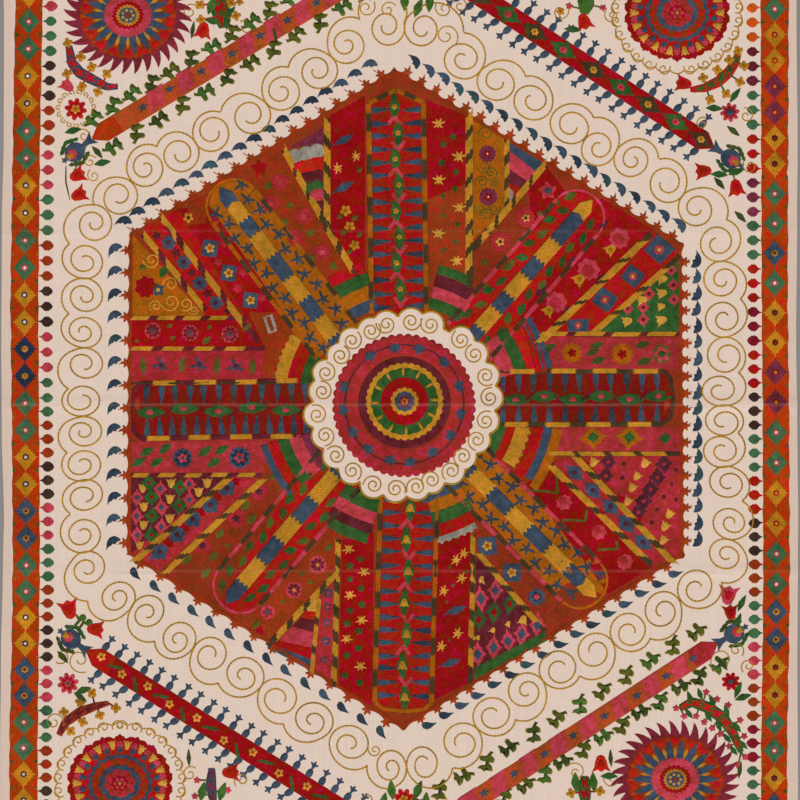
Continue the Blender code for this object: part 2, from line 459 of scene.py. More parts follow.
def band(work, left, right, dye, layer=0, rise=SILK_RISE, columns=2, edge=0.14, loop=False, grain=None,
         under=0):
    """Filled strip between two lines: across it goes a low arch, flat in the middle, over a plain underside.

    left and right are places in metres, point for point. columns is how many flat steps the middle has, and
    under is how many places the underside has between its edges, so that a wide one follows the folds.
    """
    inner = np.linspace(edge, 1.0 - edge, columns + 1)
    share = np.concatenate(([0.0, 0.0], inner, [1.0, 1.0]))
    height = np.concatenate(([ROOT, 0.42 * rise], np.full(columns + 1, rise), [0.42 * rise, ROOT]))
    share = np.concatenate((share, np.linspace(1.0, 0.0, under + 2)[1:-1]))
    height = np.concatenate((height, np.full(under, ROOT)))
    ahead = np.gradient(left + right, axis=0)
    side = left - right
    if np.sum(ahead[:, 0] * side[:, 1] - ahead[:, 1] * side[:, 0]) < 0:
        left, right = right, left
    across = left[:, None, :] + share[None, :, None] * (right - left)[:, None, :]
    count, wide = across.shape[:2]
    places = across.reshape(-1, 2)
    rises = np.tile(height, count)
    faces = grid_faces(count, wide, loop_rows=loop, loop_columns=True)
    middle = (left + right) / 2
    run = distances(middle)
    reach = np.linalg.norm(right - left, axis=1)
    stitch = np.stack((np.repeat(run, wide), (share[None, :] * reach[:, None]).ravel()), -1)
    if grain is not None:
        stitch = turned(places, -grain)
    if not loop:
        ring = np.arange(wide)
        ahead = (ring + 1) % wide
        last = (count - 1) * wide
        ends = np.stack((places[:wide].mean(axis=0), places[-wide:].mean(axis=0)))
        places = np.vstack((places, ends))
        rises = np.append(rises, (0.0, 0.0))
        stitch = np.vstack((stitch, stitch[0], stitch[-1]))
        near = np.stack((ahead, ring, np.full(wide, count * wide)), -1)
        far = np.stack((ring + last, ahead + last, np.full(wide, count * wide + 1)), -1)
        faces = np.vstack((faces, near, far))
    put(work, places, rises, faces, layer, dye, stitch)


def along(path, half_width, loop=False):
    """The two sides of a path: each point moved by half the width to the left and to the right."""
    if loop:
        ahead = np.roll(path, -1, axis=0) - np.roll(path, 1, axis=0)
    else:
        ahead = np.gradient(path, axis=0)
    ahead = ahead / np.maximum(np.linalg.norm(ahead, axis=1, keepdims=True), 1e-9)
    leftward = np.stack((-ahead[:, 1], ahead[:, 0]), -1)
    offset = leftward * np.broadcast_to(half_width, len(path))[:, None]
    return path + offset, path - offset


def line(work, path, half_width, dye, layer=0, rise=SILK_RISE, loop=False, columns=1, edge=0.25):
    """Line of stitches along a path in metres. Its half width, even or by point, is in chart squares."""
    left, right = along(path, np.asarray(half_width, float) * SQUARE, loop)
    band(work, left, right, dye, layer, rise, columns=columns, edge=edge, loop=loop)


# Real rows of stitches lie about 1.5 mm apart. They and their couching are drawn farther apart, to show.
STITCH_ROW = 0.0044
COUCHING_STEP = 0.0070
# Fold lines: a pale painted sheen lies along each one on the silk, in three strengths.
FOLD_SHEEN = (0.05, 0.16, 0.10)
FOLD_SHEEN_HEX = "#B08F7C"


def silk_material():
    """Laid and couched silk: soft sheen, rows of stitches, and streaks of uneven dye along the thread.

    Its colour carries painted shade between the rows and a pale painted sheen along each fold line.
    """
    material, tree, shader = new_material("couched_silk_thread")
    dye = node(tree, "Attribute", {"attribute_name": "dye"})
    rows = node(tree, "UVMap", {"uv_map": "stitch"})
    apart = node(tree, "SeparateXYZ", feeds={0: rows})
    row = node(tree, "Math", "MULTIPLY", {0: apart.outputs["Y"], 1: math.pi / STITCH_ROW})
    ribs = node(tree, "Math", "SINE", {0: row})
    rib = node(tree, "Math", "ABSOLUTE", {0: ribs})
    slant = node(tree, "Math", "MULTIPLY_ADD",
                 {0: apart.outputs["Y"], 1: 0.7, 2: apart.outputs["X"]})
    tie = node(tree, "Math", "MULTIPLY", {0: slant, 1: math.pi / COUCHING_STEP})
    ties = node(tree, "Math", "SINE", {0: tie})
    dip = node(tree, "Math", "ABSOLUTE", {0: ties})
    pull = node(tree, "Mapping", feeds={"Vector": rows, "Scale": (90.0, 900.0, 1.0)})
    streak = node(tree, "TexNoise", feeds={"Vector": pull, "Scale": 1.0, "Detail": 3.0})
    where = node(tree, "TexCoord").outputs["Object"]
    fade = node(tree, "TexNoise", feeds={"Vector": where, "Scale": 13.0, "Detail": 3.0, "Roughness": 0.6})
    grain = node(tree, "TexNoise", feeds={"Vector": where, "Scale": 260.0, "Detail": 2.0})
    height = node(tree, "Math", "MULTIPLY_ADD",
                  {0: dip, 1: 0.5, 2: rib})
    blot = node(tree, "TexNoise", feeds={"Vector": where, "Scale": 55.0, "Detail": 3.0, "Roughness": 0.6})
    # Painted shade: the colour darkens in the grooves between the rows of stitches and between the couching
    # ties.
    shade = node(tree, "MapRange", feeds={0: height, 1: 0.1, 2: 1.3, 3: 0.74, 4: 1.10})
    lit = node(tree, "MapRange", feeds={0: streak, 1: 0.3, 2: 0.7, 3: 0.78, 4: 1.22})
    aged = node(tree, "MapRange", feeds={0: fade, 1: 0.3, 2: 0.7, 3: 0.82, 4: 1.18})
    speck = node(tree, "MapRange", feeds={0: grain, 1: 0.3, 2: 0.7, 3: 0.84, 4: 1.16})
    blotches = node(tree, "MapRange", feeds={0: blot, 1: 0.3, 2: 0.7, 3: 0.72, 4: 1.24})
    tone = shade
    for part in (lit, aged, speck, blotches):
        tone = node(tree, "Math", "MULTIPLY", {0: tone, 1: part})
    hue = node(tree, "MapRange", feeds={0: blot, 1: 0.3, 2: 0.7, 3: 0.512, 4: 0.490})
    lot = node(tree, "HueSaturation", feeds={"Hue": hue, "Color": dye})
    colour = node(tree, "VectorMath", "SCALE", {0: lot, "Scale": tone})
    height_up = node(tree, "SeparateXYZ", feeds={0: where}).outputs["Y"]
    # Painted sheen: along each fold line the silk's colour is mixed, in patches, towards a pale beige.
    sheen_lines = 0.0
    for (place, *_), strength in zip(CROSS_FOLDS, FOLD_SHEEN):
        off = node(tree, "Math", "SUBTRACT", {0: height_up, 1: place})
        far = node(tree, "Math", "ABSOLUTE", {0: off})
        near = node(tree, "MapRange", feeds={0: far, 1: 0.0, 2: 0.0045, 3: strength, 4: 0.0})
        sheen_lines = node(tree, "Math", "ADD", {0: near, 1: sheen_lines})
    sheen_share = node(tree, "Math", "MULTIPLY", {0: sheen_lines, 1: blotches})
    sheened = node(tree, "Mix", {"data_type": "RGBA"},
                  {0: sheen_share, 6: colour, 7: linear(FOLD_SHEEN_HEX)})
    tree.links.new(sheened.outputs[2], shader.inputs["Base Color"])
    tree.links.new(sheened.outputs[2], shader.inputs["Specular Tint"])
    relief = node(tree, "Math", "ADD", {0: height, 1: streak})
    bump = node(tree, "Bump", feeds={"Height": relief, "Strength": 0.5, "Distance": 0.0005})
    tree.links.new(bump.outputs[0], shader.inputs["Normal"])
    shader.inputs["Roughness"].default_value = 0.62
    shader.inputs["Specular IOR Level"].default_value = 0.30
    return material


silk = silk_material()


def finish_work(name, work):
    """Make the work one mesh that carries its dyes and the run of its stitches, and fix it to the cloth."""
    points = np.vstack(work["points"])
    faces = np.vstack(work["faces"])
    mesh = fill_mesh(name, points, faces)
    dye = mesh.attributes.new("dye", "FLOAT_COLOR", "POINT")
    dye.data.foreach_set("color", np.vstack(work["dye"]).astype(np.float32).ravel())
    stitch = mesh.uv_layers.new(name="stitch")
    stitch.data.foreach_set("uv", np.vstack(work["stitch"])[faces.ravel()].astype(np.float32).ravel())
    mesh.materials.append(silk)
    piece = bpy.data.objects.new(name, mesh)
    bpy.context.scene.collection.objects.link(piece)
    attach(piece, "root")


def polar(count, radius):
    """Outline at even angles, anticlockwise, with radius as a function of the angle."""
    angle = np.linspace(0.0, 2.0 * math.pi, count, endpoint=False)
    reach = radius(angle)
    return np.stack((reach * np.cos(angle), reach * np.sin(angle)), -1)


def flower(petals, depth, points=6):
    """Flower outline: a circle less depth between the petals, by the size of a sine of half their number."""
    return polar(petals * points, lambda angle: 1.0 - depth * (1.0 - np.abs(np.sin(petals * angle / 2.0))))


def star(tips, depth):
    """Star outline: two radii in turn, the full one at each tip and one less by depth between them."""
    return polar(tips * 2, lambda angle: 1.0 - depth * (np.round(angle * tips / math.pi) % 2))


def stepped_diamond(points=40):
    """Diamond outline with a wavy, stepped edge: distances along both axes add to 1, less a small ripple."""
    def radius(angle):
        straight = 1.0 / (np.abs(np.cos(angle)) ** 0.9 + np.abs(np.sin(angle)) ** 0.9)
        return straight * (1.14 + 0.11 * np.cos(20.0 * angle))
    return polar(points, radius)


def round_outline(points=12):
    """Circle."""
    return polar(points, lambda angle: np.ones_like(angle))


# Edges of the side bands on the chart, outer and inner, read down the rows
SIDE_BANDS = {
    "row": (-110.0, 0.0, 150.0, 300.0, 420.0, 560.0, 640.0, 740.0, 910.0),
    "left_outer": (15.0, 15.5, 13.0, 10.5, 12.0, 13.0, 12.0, 9.5, 10.0),
    "left_inner": (43.5, 43.0, 40.0, 38.5, 39.2, 40.0, 39.0, 37.8, 38.0),
    "right_outer": (788.0, 788.5, 788.0, 787.5, 789.0, 789.5, 789.0, 787.0, 787.0),
    "right_inner": (760.5, 760.5, 761.0, 761.5, 762.5, 763.0, 762.5, 761.0, 761.0),
}
BAND_TOP = (-99.0, -71.5)
BAND_FOOT = (874.0, 901.0)
# Diamonds down each side: the letter of each dye, and the rows of some of them
LEFT_DIAMONDS = {"dyes": "GGYYGGYYGGYYGGYYBBGGYYSSGGYYSSGGYYSSGG", "first": -4,
                 "number": (-4, 0, 10, 20, 29, 33), "row": (-86.0, 21.5, 295.0, 565.0, 800.0, 887.0)}
RIGHT_DIAMONDS = {"dyes": "GHHGAAUUHHGGSGHHUUGGAAGGSSHHGGHSSGG", "first": -3,
                  "number": (-3, 0, 6, 14, 20, 27, 31),
                  "row": (-86.0, 9.0, 164.0, 402.0, 584.0, 778.0, 887.0)}
DIAMOND_SIZE = (10.4, 12.0)
DIAMOND_HEARTS = {"G": ("rose", "cream"), "Y": ("navy", "cream"), "H": ("brown", "crimson"),
                  "A": ("red", "yellow"), "B": ("yellow", "amber"), "S": ("yellow", "maroon"),
                  "U": ("crimson", "yellow")}


def band_lines(outer, inner):
    """Both edges of a side band down the whole cloth, with a slight unevenness."""
    rows = np.arange(BAND_TOP[0], BAND_FOOT[1] + 1.0, 3.0)
    wobble = 0.35 * np.sin(rows / 7.3) + 0.25 * np.sin(rows / 3.1)
    first = spot(np.interp(rows, SIDE_BANDS["row"], SIDE_BANDS[outer]) + wobble, rows)
    second = spot(np.interp(rows, SIDE_BANDS["row"], SIDE_BANDS[inner]) - 0.8 * wobble, rows)
    return first, second


def border_diamond(work, column, row, letter, turn=0.0):
    """One stepped diamond with a ringed dot at its heart."""
    ring, dot = DIAMOND_HEARTS[letter]
    pad(work, (column, row), stepped_diamond(), DIAMOND_SIZE, turn, LETTERS[letter], layer=1, grain=45)
    pad(work, (column, row), flower(6, 0.2, 3), 3.6, turn, ring, layer=2)
    pad(work, (column, row), flower(5, 0.3, 3), 1.9, turn, dot, layer=3)


def make_border():
    """Work the four bands, their diamonds and the specks between them."""
    work = new_work()
    for outer, inner in (("left_outer", "left_inner"), ("right_outer", "right_inner")):
        first, second = band_lines(outer, inner)
        order = (first, second) if outer == "right_outer" else (second, first)
        band(work, *order, "orange", columns=5, edge=0.04, grain=90)
    columns = np.arange(41.0, 764.0, 3.0)
    for rows in (BAND_TOP, BAND_FOOT):
        wobble = 0.4 * np.sin(columns / 8.1)
        band(work, spot(columns, rows[0] + wobble), spot(columns, rows[1] - wobble), "orange", columns=5,
             edge=0.04)
    for chart, side in ((LEFT_DIAMONDS, "left"), (RIGHT_DIAMONDS, "right")):
        for number, letter in enumerate(chart["dyes"], chart["first"]):
            row = np.interp(number, chart["number"], chart["row"])
            if row > chart["row"][-1] - 1.0 and number > chart["number"][-1]:
                continue
            outer = np.interp(row, SIDE_BANDS["row"], SIDE_BANDS[f"{side}_outer"])
            inner = np.interp(row, SIDE_BANDS["row"], SIDE_BANDS[f"{side}_inner"])
            border_diamond(work, (outer + inner) / 2, row, letter)
            for edge in (outer, inner):
                speck = edge + 0.14 * ((outer + inner) / 2 - edge)
                dye = ("green", "olive", "amber")[number % 3]
                pad(work, (speck, row + 13.5), round_outline(7), (1.6, 2.2), 0, dye, layer=1)
    for row in (sum(BAND_TOP) / 2, sum(BAND_FOOT) / 2):
        for number, column in enumerate(np.linspace(55.0, 748.0, 26)):
            border_diamond(work, column, row, "YGGYYBBGG"[number % 9], 90)
    finish_work("border_band", work)


make_border()

# Border buds: small leaf-shaped buds that point inwards from the band, in threes of one colour.
# Each one is a single pad of silk with a toothed outline, stitched across its length.
BUD_SIZE = np.array((7.6, 7.2))
BUD_TEETH = (1.0, 0.90, 0.84, 0.72, 0.76, 0.62, 0.68, 0.58, 0.62, 0.56, 0.52, 0.55, 0.62, 1.06)
LEFT_BUDS = {"threes": "GDRPGDRPGRDPGRDPGRDPGRDPGRDPGRDP", "first": -11,
             "number": (-7, 1, 13, 26, 39, 55, 61), "row": (-98.0, 21.5, 200.0, 398.0, 576.5, 791.0, 871.0)}
RIGHT_BUDS = {"threes": "GEOMGEUGECEDGEDRGPRCGEUG", "first": -6, "number": (-6, 0, 12, 24, 36, 48, 56, 62),
              "row": (-80.0, 8.0, 183.0, 355.0, 523.0, 688.0, 798.0, 880.0)}


def bud_outline():
    """Bud outline, pointing along x: both points at full length, and the flanks toothed towards the tip."""
    half = np.array(BUD_TEETH)
    angle = np.linspace(0.0, math.pi, len(half))
    reach = half * np.where(np.cos(angle) < 0, 0.98, 1.0)
    upper = np.stack((reach * np.cos(angle), 1.15 * reach * np.sin(angle)), -1)
    lower = upper[-2:0:-1] * (1.0, -0.94)
    return np.vstack((upper, lower))


def bud(work, column, row, way, letter):
    """One bud, with its stalk end on the band."""
    size = dye_lots.uniform(0.93, 1.05)
    turn = way + dye_lots.uniform(-5, 5)
    pad(work, (column, row), bud_outline(), BUD_SIZE * size, turn, LETTERS[letter], grain=80)


def make_buds():
    """Set the buds along the inner edges of all four bands."""
    work = new_work()
    for chart, edge, way, out in ((LEFT_BUDS, "left_inner", 0.0, 7.2),
                                  (RIGHT_BUDS, "right_inner", 180.0, -7.2)):
        for number in range(-5, 61):
            row = np.interp(number, chart["number"], chart["row"])
            letter = chart["threes"][(number - chart["first"]) // 3 % len(chart["threes"])]
            column = np.interp(row, SIDE_BANDS["row"], SIDE_BANDS[edge]) + out
            if BAND_TOP[1] + 8 < row < BAND_FOOT[0] - 8:
                bud(work, column, row, way, letter)
    for row, way, out in ((BAND_TOP[1], 270.0, 7.0), (BAND_FOOT[0], 90.0, -7.0)):
        for number, column in enumerate(np.linspace(60.0, 744.0, 47)):
            bud(work, column, row + out, way, "GPREDU"[number // 3 % 6])
    finish_work("border_buds", work)


make_buds()

# Gold scrolls: a ring of single lines round the hexagon, worked in gold silk chain stitch on the bare cotton.
# Each line starts at an outer notch that it shares with a neighbour, runs round and winds in to a hook.
SCROLL_WIDTH = 0.78
SCROLL_TURNS = {
    "degrees": (0.0, 150.0, 240.0, 330.0, 420.0, 510.0, 600.0, 690.0, 770.0, 830.0),
    "reach": (1.0, 1.0, 0.97, 0.90, 0.73, 0.54, 0.44, 0.34, 0.20, 0.12),
}
# Each notch, and the middles of the scrolls that wind anticlockwise and clockwise from it
NOTCHES = (
    ((70, 244), (85, 262), (94, 223)), ((95, 206), None, (119, 196)),
    ((157, 147.5), (145, 168), (181, 154)), ((220.5, 112), (212, 133), (251, 116)),
    ((288, 68), (281, 92), (318, 71)), ((360, 20), (346, 45), (387, 27)),
    ((464, 32.5), (422, 29), (463, 60)), ((525, 77), (497, 82), (533, 101)),
    ((594, 118.5), (570, 126), (599, 148)), ((659, 159), (632, 160), (667, 184)),
    ((726, 220), (696, 208), (718, 244)), ((740.5, 299.5), (722, 280), (724, 319)),
    ((738, 373), (726, 356), (720, 391)), ((738, 433), (723, 421), (722, 451)),
    ((742, 501), (728, 483), (731, 523)), ((721, 582), (727, 555), (696, 589)),
    ((650, 638), (663, 611), (629, 632)), ((580, 676), (596, 651), (559, 669)),
    ((515, 719), (527, 691), (492, 716)), ((453, 768), (462, 742), (423, 764)),
    ((367, 765), (391, 768), (349, 744)), ((284, 724), (313, 721), (278, 698)),
    ((218, 682.5), (244, 676), (209, 655)), ((155, 641), (178, 640), (147, 613)),
    ((87.5, 601), (118, 598), (87, 569)), ((70, 514), (83, 535), (85, 496)),
    ((67, 452), (83, 465), (83, 432)), ((69, 389), (82, 401), (84, 364)),
    ((69, 314.5), (83, 332), (85, 296)),
)
# Middle of each scroll, the notch where it starts, and which way it winds: 1 is anticlockwise
SCROLLS = [(middle, notch, hand) for notch, *pair in NOTCHES for middle, hand in zip(pair, (1, -1)) if middle]
TOP_SCROLL = 10
TOP_SCROLL_BULGE = 17.0
RING_MIDDLE = (403.0, 401.0)
# Small side curls of the ring: where each leaves a scroll, its middle, and its way
SIDE_CURLS = (((455, 46), (446, 36), 1), ((368, 748), (375, 750), 1))


def circled(middle, reach, angle, squash=1.0):
    """Columns and rows of the places at a reach and an angle from a middle. squash flattens the circle."""
    return middle[0] + reach * np.cos(angle), middle[1] - squash * reach * np.sin(angle)


def scroll_path(middle, start, hand, reach_along, reach_out, bulge=0.0):
    """A winding line round middle: an ellipse shrunk by SCROLL_TURNS, pushed out near its notch.

    reach_out is towards the outside of the ring and reach_along lies along it, in chart squares.
    """
    away = np.subtract(middle, RING_MIDDLE) * (1.0, -1.0)
    facing = math.atan2(away[1], away[0])
    notch = np.subtract(start, middle) * (1.0, -1.0)
    first = math.atan2(notch[1], notch[0])
    turning = np.linspace(0.0, dye_lots.uniform(660.0, 800.0), 120)
    angle = first + hand * np.radians(turning)
    shrink = np.interp(turning, SCROLL_TURNS["degrees"], SCROLL_TURNS["reach"])
    oval = 1.0 / np.hypot(np.cos(angle - facing) / reach_out, np.sin(angle - facing) / reach_along)
    extra = np.hypot(*notch) - oval[0]
    wave = dye_lots.uniform(0.0, 6.3)
    shrink = shrink * (1.0 + 0.035 * np.sin(np.radians(turning) * 1.3 + wave))
    radius = oval * shrink + extra * (1.0 - smooth_step(turning / 125.0))
    radius = radius + bulge * np.sin(np.pi * np.clip(turning / 150.0, 0.0, 1.0))
    return spot(*circled(middle, radius, angle))


def small_curl(work, start, middle, hand, dye="gold", turns=1.4, width=0.62, layer=0):
    """A short hooked line: a spiral whose radius falls evenly from its start to almost nothing."""
    reach = np.subtract(start, middle) * (1.0, -1.0)
    first = math.atan2(reach[1], reach[0])
    share = np.linspace(0.0, 1.0, round(26 * turns))
    angle = first + hand * 2.0 * math.pi * turns * share
    radius = np.hypot(*reach) * (1.0 - 0.82 * share ** 0.8)
    path = spot(*circled(middle, radius, angle))
    line(work, path, width, dye, layer=layer, rise=0.0005)


def chain_line(work, path, half_width, dye):
    """A chain-stitched line: its width swells and narrows with each link."""
    run = distances(path)
    even = np.interp(np.arange(0.0, run[-1], 0.0042), run, np.arange(len(path)))
    number = np.arange(len(path))
    smooth = np.stack([np.interp(even, number, path[:, axis]) for axis in (0, 1)], -1)
    link = 1.0 + 0.16 * np.where(np.arange(len(smooth)) % 2, 1.0, -1.0)
    line(work, smooth, half_width * link, dye, rise=0.0007)


def make_scrolls():
    """Work the ring of scrolls, each long enough to touch the neighbour that it joins."""
    work = new_work()
    count = len(SCROLLS)
    for number, (middle, start, hand) in enumerate(SCROLLS):
        joined = SCROLLS[(number - hand) % count]
        apart = math.dist(middle, joined[0]) / 2
        reach_along = min(max(apart, 15.5), 20.5)
        bulge = TOP_SCROLL_BULGE if number == TOP_SCROLL else 0.0
        path = scroll_path(middle, start, hand, reach_along, 18.6, bulge)
        chain_line(work, path, SCROLL_WIDTH, "gold")
    for start, middle, hand in SIDE_CURLS:
        small_curl(work, start, middle, hand)
    finish_work("gold_scrolls", work)


make_scrolls()

# Hexagon rim: the rust edge of the middle field, with small spiky finials set along it.
# Each finial carries a slate-blue leaf that curls away from it on the bare cotton.
HEXAGON = ((395, 71), (131, 236), (129, 553), (402, 727), (682, 554), (680, 244))
RIM_LAYER = 2
RIM_HALF = 1.9
RIM_FLARE = 3.0
FINIAL_SIZE = 5.6
CRESCENT_LENGTH = 17.5
DROP_SIZE = (7.4, 4.2)
# Sides of the rim from corner to corner, anticlockwise: first and last finial, their number, the place of a
# leaf from its finial, the way that the leaf's tip points, in degrees, and whether it is a drop
RIM_SIDES = (
    ((380.7, 76), (135, 232), 18, (-12, -8), 192, False),
    ((127, 250), (125.5, 543), 14, (-12, 2), 215, False),
    ((141, 564), (386, 721.5), 14, (-5.5, 10.5), 295, True),
    ((420.7, 719), (666, 567), 16, (8.5, 6.5), 352, True),
    ((686, 541), (684.5, 262), 18, (9.5, -3.5), 78, False),
    ((672, 236), (407, 72), 19, (4.5, -10.5), 125, False),
)


def crescent(work, at, way, length, dye):
    """A curled leaf: a bent line, thin at its tip and broad near its foot, its inner edge in scallops."""
    share = np.linspace(0.0, 1.0, 13)
    bend = 0.20 * np.sin(math.pi * share)
    spine = np.stack((share - 0.5, bend), -1) * length
    full = np.sin(math.pi * np.clip(share, 0.02, 0.985) ** 1.6) ** 0.8 * length * 0.27
    outer, _ = along(spine, full)
    _, inner = along(spine, full * (0.66 + 0.20 * np.cos(6.0 * math.pi * share)))
    middle = np.array(at)
    sides = [middle + turned(side, way + 180) * (1.0, -1.0) for side in (outer, inner)]
    band(work, *[spot(*side.T) for side in sides], dye, edge=0.2)


def bearing(way):
    """Degrees, anticlockwise from the right, of a direction on the chart, whose rows run down."""
    return math.degrees(math.atan2(-way[1], way[0]))


def spiked(base, spikes, points):
    """Outline with spikes: a base radius plus a bell curve at each spike's angle, of its height and width."""
    def radius(angle):
        reach = np.full(len(angle), float(base))
        for way, height, width in spikes:
            off = (np.degrees(angle) - way + 180.0) % 360.0 - 180.0
            reach = reach + height * np.exp(-(off / width) ** 2)
        return reach
    return polar(points, radius)


FINIAL = spiked(0.46, ((90, 0.66, 18), (28, 0.56, 17), (152, 0.56, 17), (-25, 0.45, 14), (205, 0.45, 14)), 30)
DROP = np.array(((-1.0, 0.1), (-0.8, -0.7), (-0.3, -1.05), (0.2, -0.75), (0.6, -0.1), (1.1, 0.75), (0.4, 0.6),
                 (-0.3, 0.8), (-0.8, 0.65)))


def make_rim():
    """Work the rim line, which flares at each finial, and the finials and leaves of all six sides."""
    work = new_work()
    corners = np.array(HEXAGON, float)
    for row, start, end in zip(RIM_SIDES, corners, np.roll(corners, -1, axis=0)):
        first_foot, last_foot, count, leaf_off, tip, drop = row
        steps = np.linspace(-0.004, 1.004, count * 8)
        path = start + steps[:, None] * (end - start)
        way = (end - start) / np.linalg.norm(end - start)
        out = np.array((-way[1], way[0]))
        first = np.dot(first_foot - start, way)
        last = np.dot(last_foot - start, way)
        pitch = (last - first) / (count - 1)
        place = np.dot(path - start, way)
        near = np.abs(((place - first) / pitch + 0.5) % 1.0 - 0.5) * 2.0
        outer = path + out * (RIM_HALF + RIM_FLARE * (1.0 - near) ** 1.6 - 0.6)[:, None]
        inner = path - out * RIM_HALF
        band(work, spot(*inner.T), spot(*outer.T), "rust", layer=RIM_LAYER, grain=0)
        facing = bearing(out)
        for share in np.linspace(0.0, 1.0, count):
            foot = np.array(first_foot) + share * np.subtract(last_foot, first_foot)
            foot = foot + dye_lots.uniform(-0.6, 0.6, 2)
            pad(work, foot, FINIAL, FINIAL_SIZE * dye_lots.uniform(0.9, 1.08), facing - 90, "finial",
                layer=RIM_LAYER)
            dye = ("ink", "steel", "ink", "steel", "teal")[int(dye_lots.integers(0, 5))]
            leaf = foot + np.array(leaf_off)
            turn = tip + dye_lots.uniform(-7, 7)
            if drop:
                pad(work, leaf, DROP, DROP_SIZE, turn, dye)
                continue
            crescent(work, leaf, turn, CRESCENT_LENGTH * dye_lots.uniform(0.92, 1.06), dye)
            stem = np.linspace(foot, leaf + 0.35 * (foot - leaf), 3)
            line(work, spot(*stem.T), 0.45, "finial", rise=0.0003)
    finish_work("hexagon_rim", work)


make_rim()

# Middle field: the whole hexagon is worked solid, first as strips of laid silk that fit edge to edge.
# Straight strips fill the gaps between eight arms, and arcs of short strips stand round the medallion.
FIELD_STEPS = (0.0070, 0.0115)
FIELD_EDGE = 0.0014
# Plain strips: four corners on the chart, in order round the strip, dye, layer, and the run of the stitches
STRIPS = (
    # Upper left
    ((131, 236), (131, 317), (206, 317), (134, 236), "ochre", 1, 40),
    ((140, 231), (206, 317), (244, 317), (178, 209), "red", 1, 125),
    ((178, 209), (262, 344), (300, 335), (210, 206), "crimson", 1, 125),
    ((190, 202), (184, 226), (206, 224), (212, 192), "rust", 1, 30),
    ((248, 312), (266, 350), (300, 340), (282, 312), "rust", 1, 125),
    ((131, 320), (131, 347), (264, 347), (246, 320), "crimson", 1, 0),
    ((131, 350), (131, 383), (266, 383), (266, 350), "pink", 1, 0),
    # Upper middle left
    ((246, 173), (288, 150), (356, 268), (338, 284), "rust", 1, 125),
    ((286, 150), (324, 127), (324, 145), (292, 147), "purple", 1, 20),
    ((292, 152), (296, 172), (324, 172), (324, 152), "scarlet", 1, 90),
    ((296, 171), (301, 185), (324, 183), (324, 171), "maroon", 1, 90),
    ((301, 183), (305, 193), (324, 192), (324, 182), "green", 1, 90),
    ((305, 192), (309, 202), (324, 201), (324, 191), "rose", 1, 90),
    ((309, 201), (318, 214), (325, 222), (324, 200), "maroon", 1, 90),
    ((330, 116), (330, 230), (365, 230), (365, 96), "crimson", 1, 90),
    ((330, 228), (357, 276), (365, 276), (365, 228), "crimson", 1, 90),
    # Upper middle right
    ((426, 100), (428, 200), (466, 184), (466, 116), "crimson", 1, 90),
    ((428, 199), (430, 268), (466, 290), (466, 183), "rust", 1, 90),
    ((472, 118), (472, 240), (505, 210), (505, 137), "amber", 1, 90),
    ((508, 138), (508, 150), (534, 172), (546, 160), "slate", 1, -30),
    ((508, 149), (508, 169), (527, 183), (535, 171), "rose", 1, -30),
    ((508, 168), (508, 183), (520, 190), (528, 181), "maroon", 1, -30),
    ((508, 182), (508, 194), (514, 197), (521, 188), "red", 1, -30),
    ((508, 186), (507, 206), (513, 201), (514, 192), "grey", 1, 90),
    ((474, 246), (464, 304), (534, 230), (530, 187), "brick", 1, 50),
    ((528, 190), (532, 236), (566, 192), (546, 166), "crimson", 1, 50),
    # Right, upper
    ((603, 196), (516, 322), (541, 342), (655, 232), "crimson", 1, 50),
    ((541, 340), (594, 334), (679, 258), (652, 230), "red", 1, 40),
    ((679, 258), (679, 332), (594, 333), (678, 257), "green", 1, 0),
    ((542, 337), (556, 370), (679, 370), (679, 337), "old rose", 1, 0),
    # Right, lower
    ((545, 427), (553, 452), (681, 452), (681, 427), "old rose", 1, 0),
    ((584, 456), (681, 456), (681, 553), (668, 560), "pink", 1, 40),
    ((549, 464), (652, 566), (672, 558), (574, 455), "pink", 1, -43),
    ((526, 484), (608, 594), (654, 566), (549, 466), "crimson", 1, -43),
    # Lower middle right
    ((436, 522), (434, 700), (470, 682), (471, 532), "crimson", 1, 90),
    ((476, 560), (474, 674), (546, 632), (480, 558), "maroon", 1, 90),
    ((475, 667), (474, 680), (548, 640), (545, 631), "green", 2, 0),
    ((474, 534), (548, 632), (572, 612), (492, 524), "brick", 1, -45),
    ((546, 600), (546, 636), (606, 596), (570, 580), "brick", 1, 20),
    # Lower middle left
    ((342, 540), (339, 688), (372, 706), (374, 532), "crimson", 1, 90),
    ((334, 580), (335, 682), (312, 668), (318, 598), "pink", 1, 90),
    ((318, 598), (306, 608), (308, 611), (320, 612), "lemon", 1, 60),
    ((309, 607), (300, 618), (316, 622), (319, 609), "scarlet", 1, 60),
    ((301, 617), (292, 627), (314, 633), (317, 620), "maroon", 1, 60),
    ((293, 626), (278, 641), (312, 648), (314, 632), "rose", 1, 60),
    ((279, 640), (272, 645), (311, 661), (312, 647), "red", 1, 60),
    ((273, 644), (267, 647), (311, 671), (312, 659), "slate", 1, -30),
    ((336, 528), (336, 580), (268, 640), (252, 608), "rust", 1, 45),
    ((258, 596), (256, 634), (274, 636), (278, 590), "crimson", 1, 45),
    # Left, lower
    ((131, 441), (131, 473), (262, 473), (271, 441), "old rose", 1, 0),
    ((131, 477), (131, 554), (226, 478), (225, 477), "maroon", 1, 45),
    ((131, 553), (166, 573), (262, 480), (232, 476), "pink", 1, 43),
    ((160, 570), (216, 608), (282, 500), (266, 472), "brick", 1, 43),
)
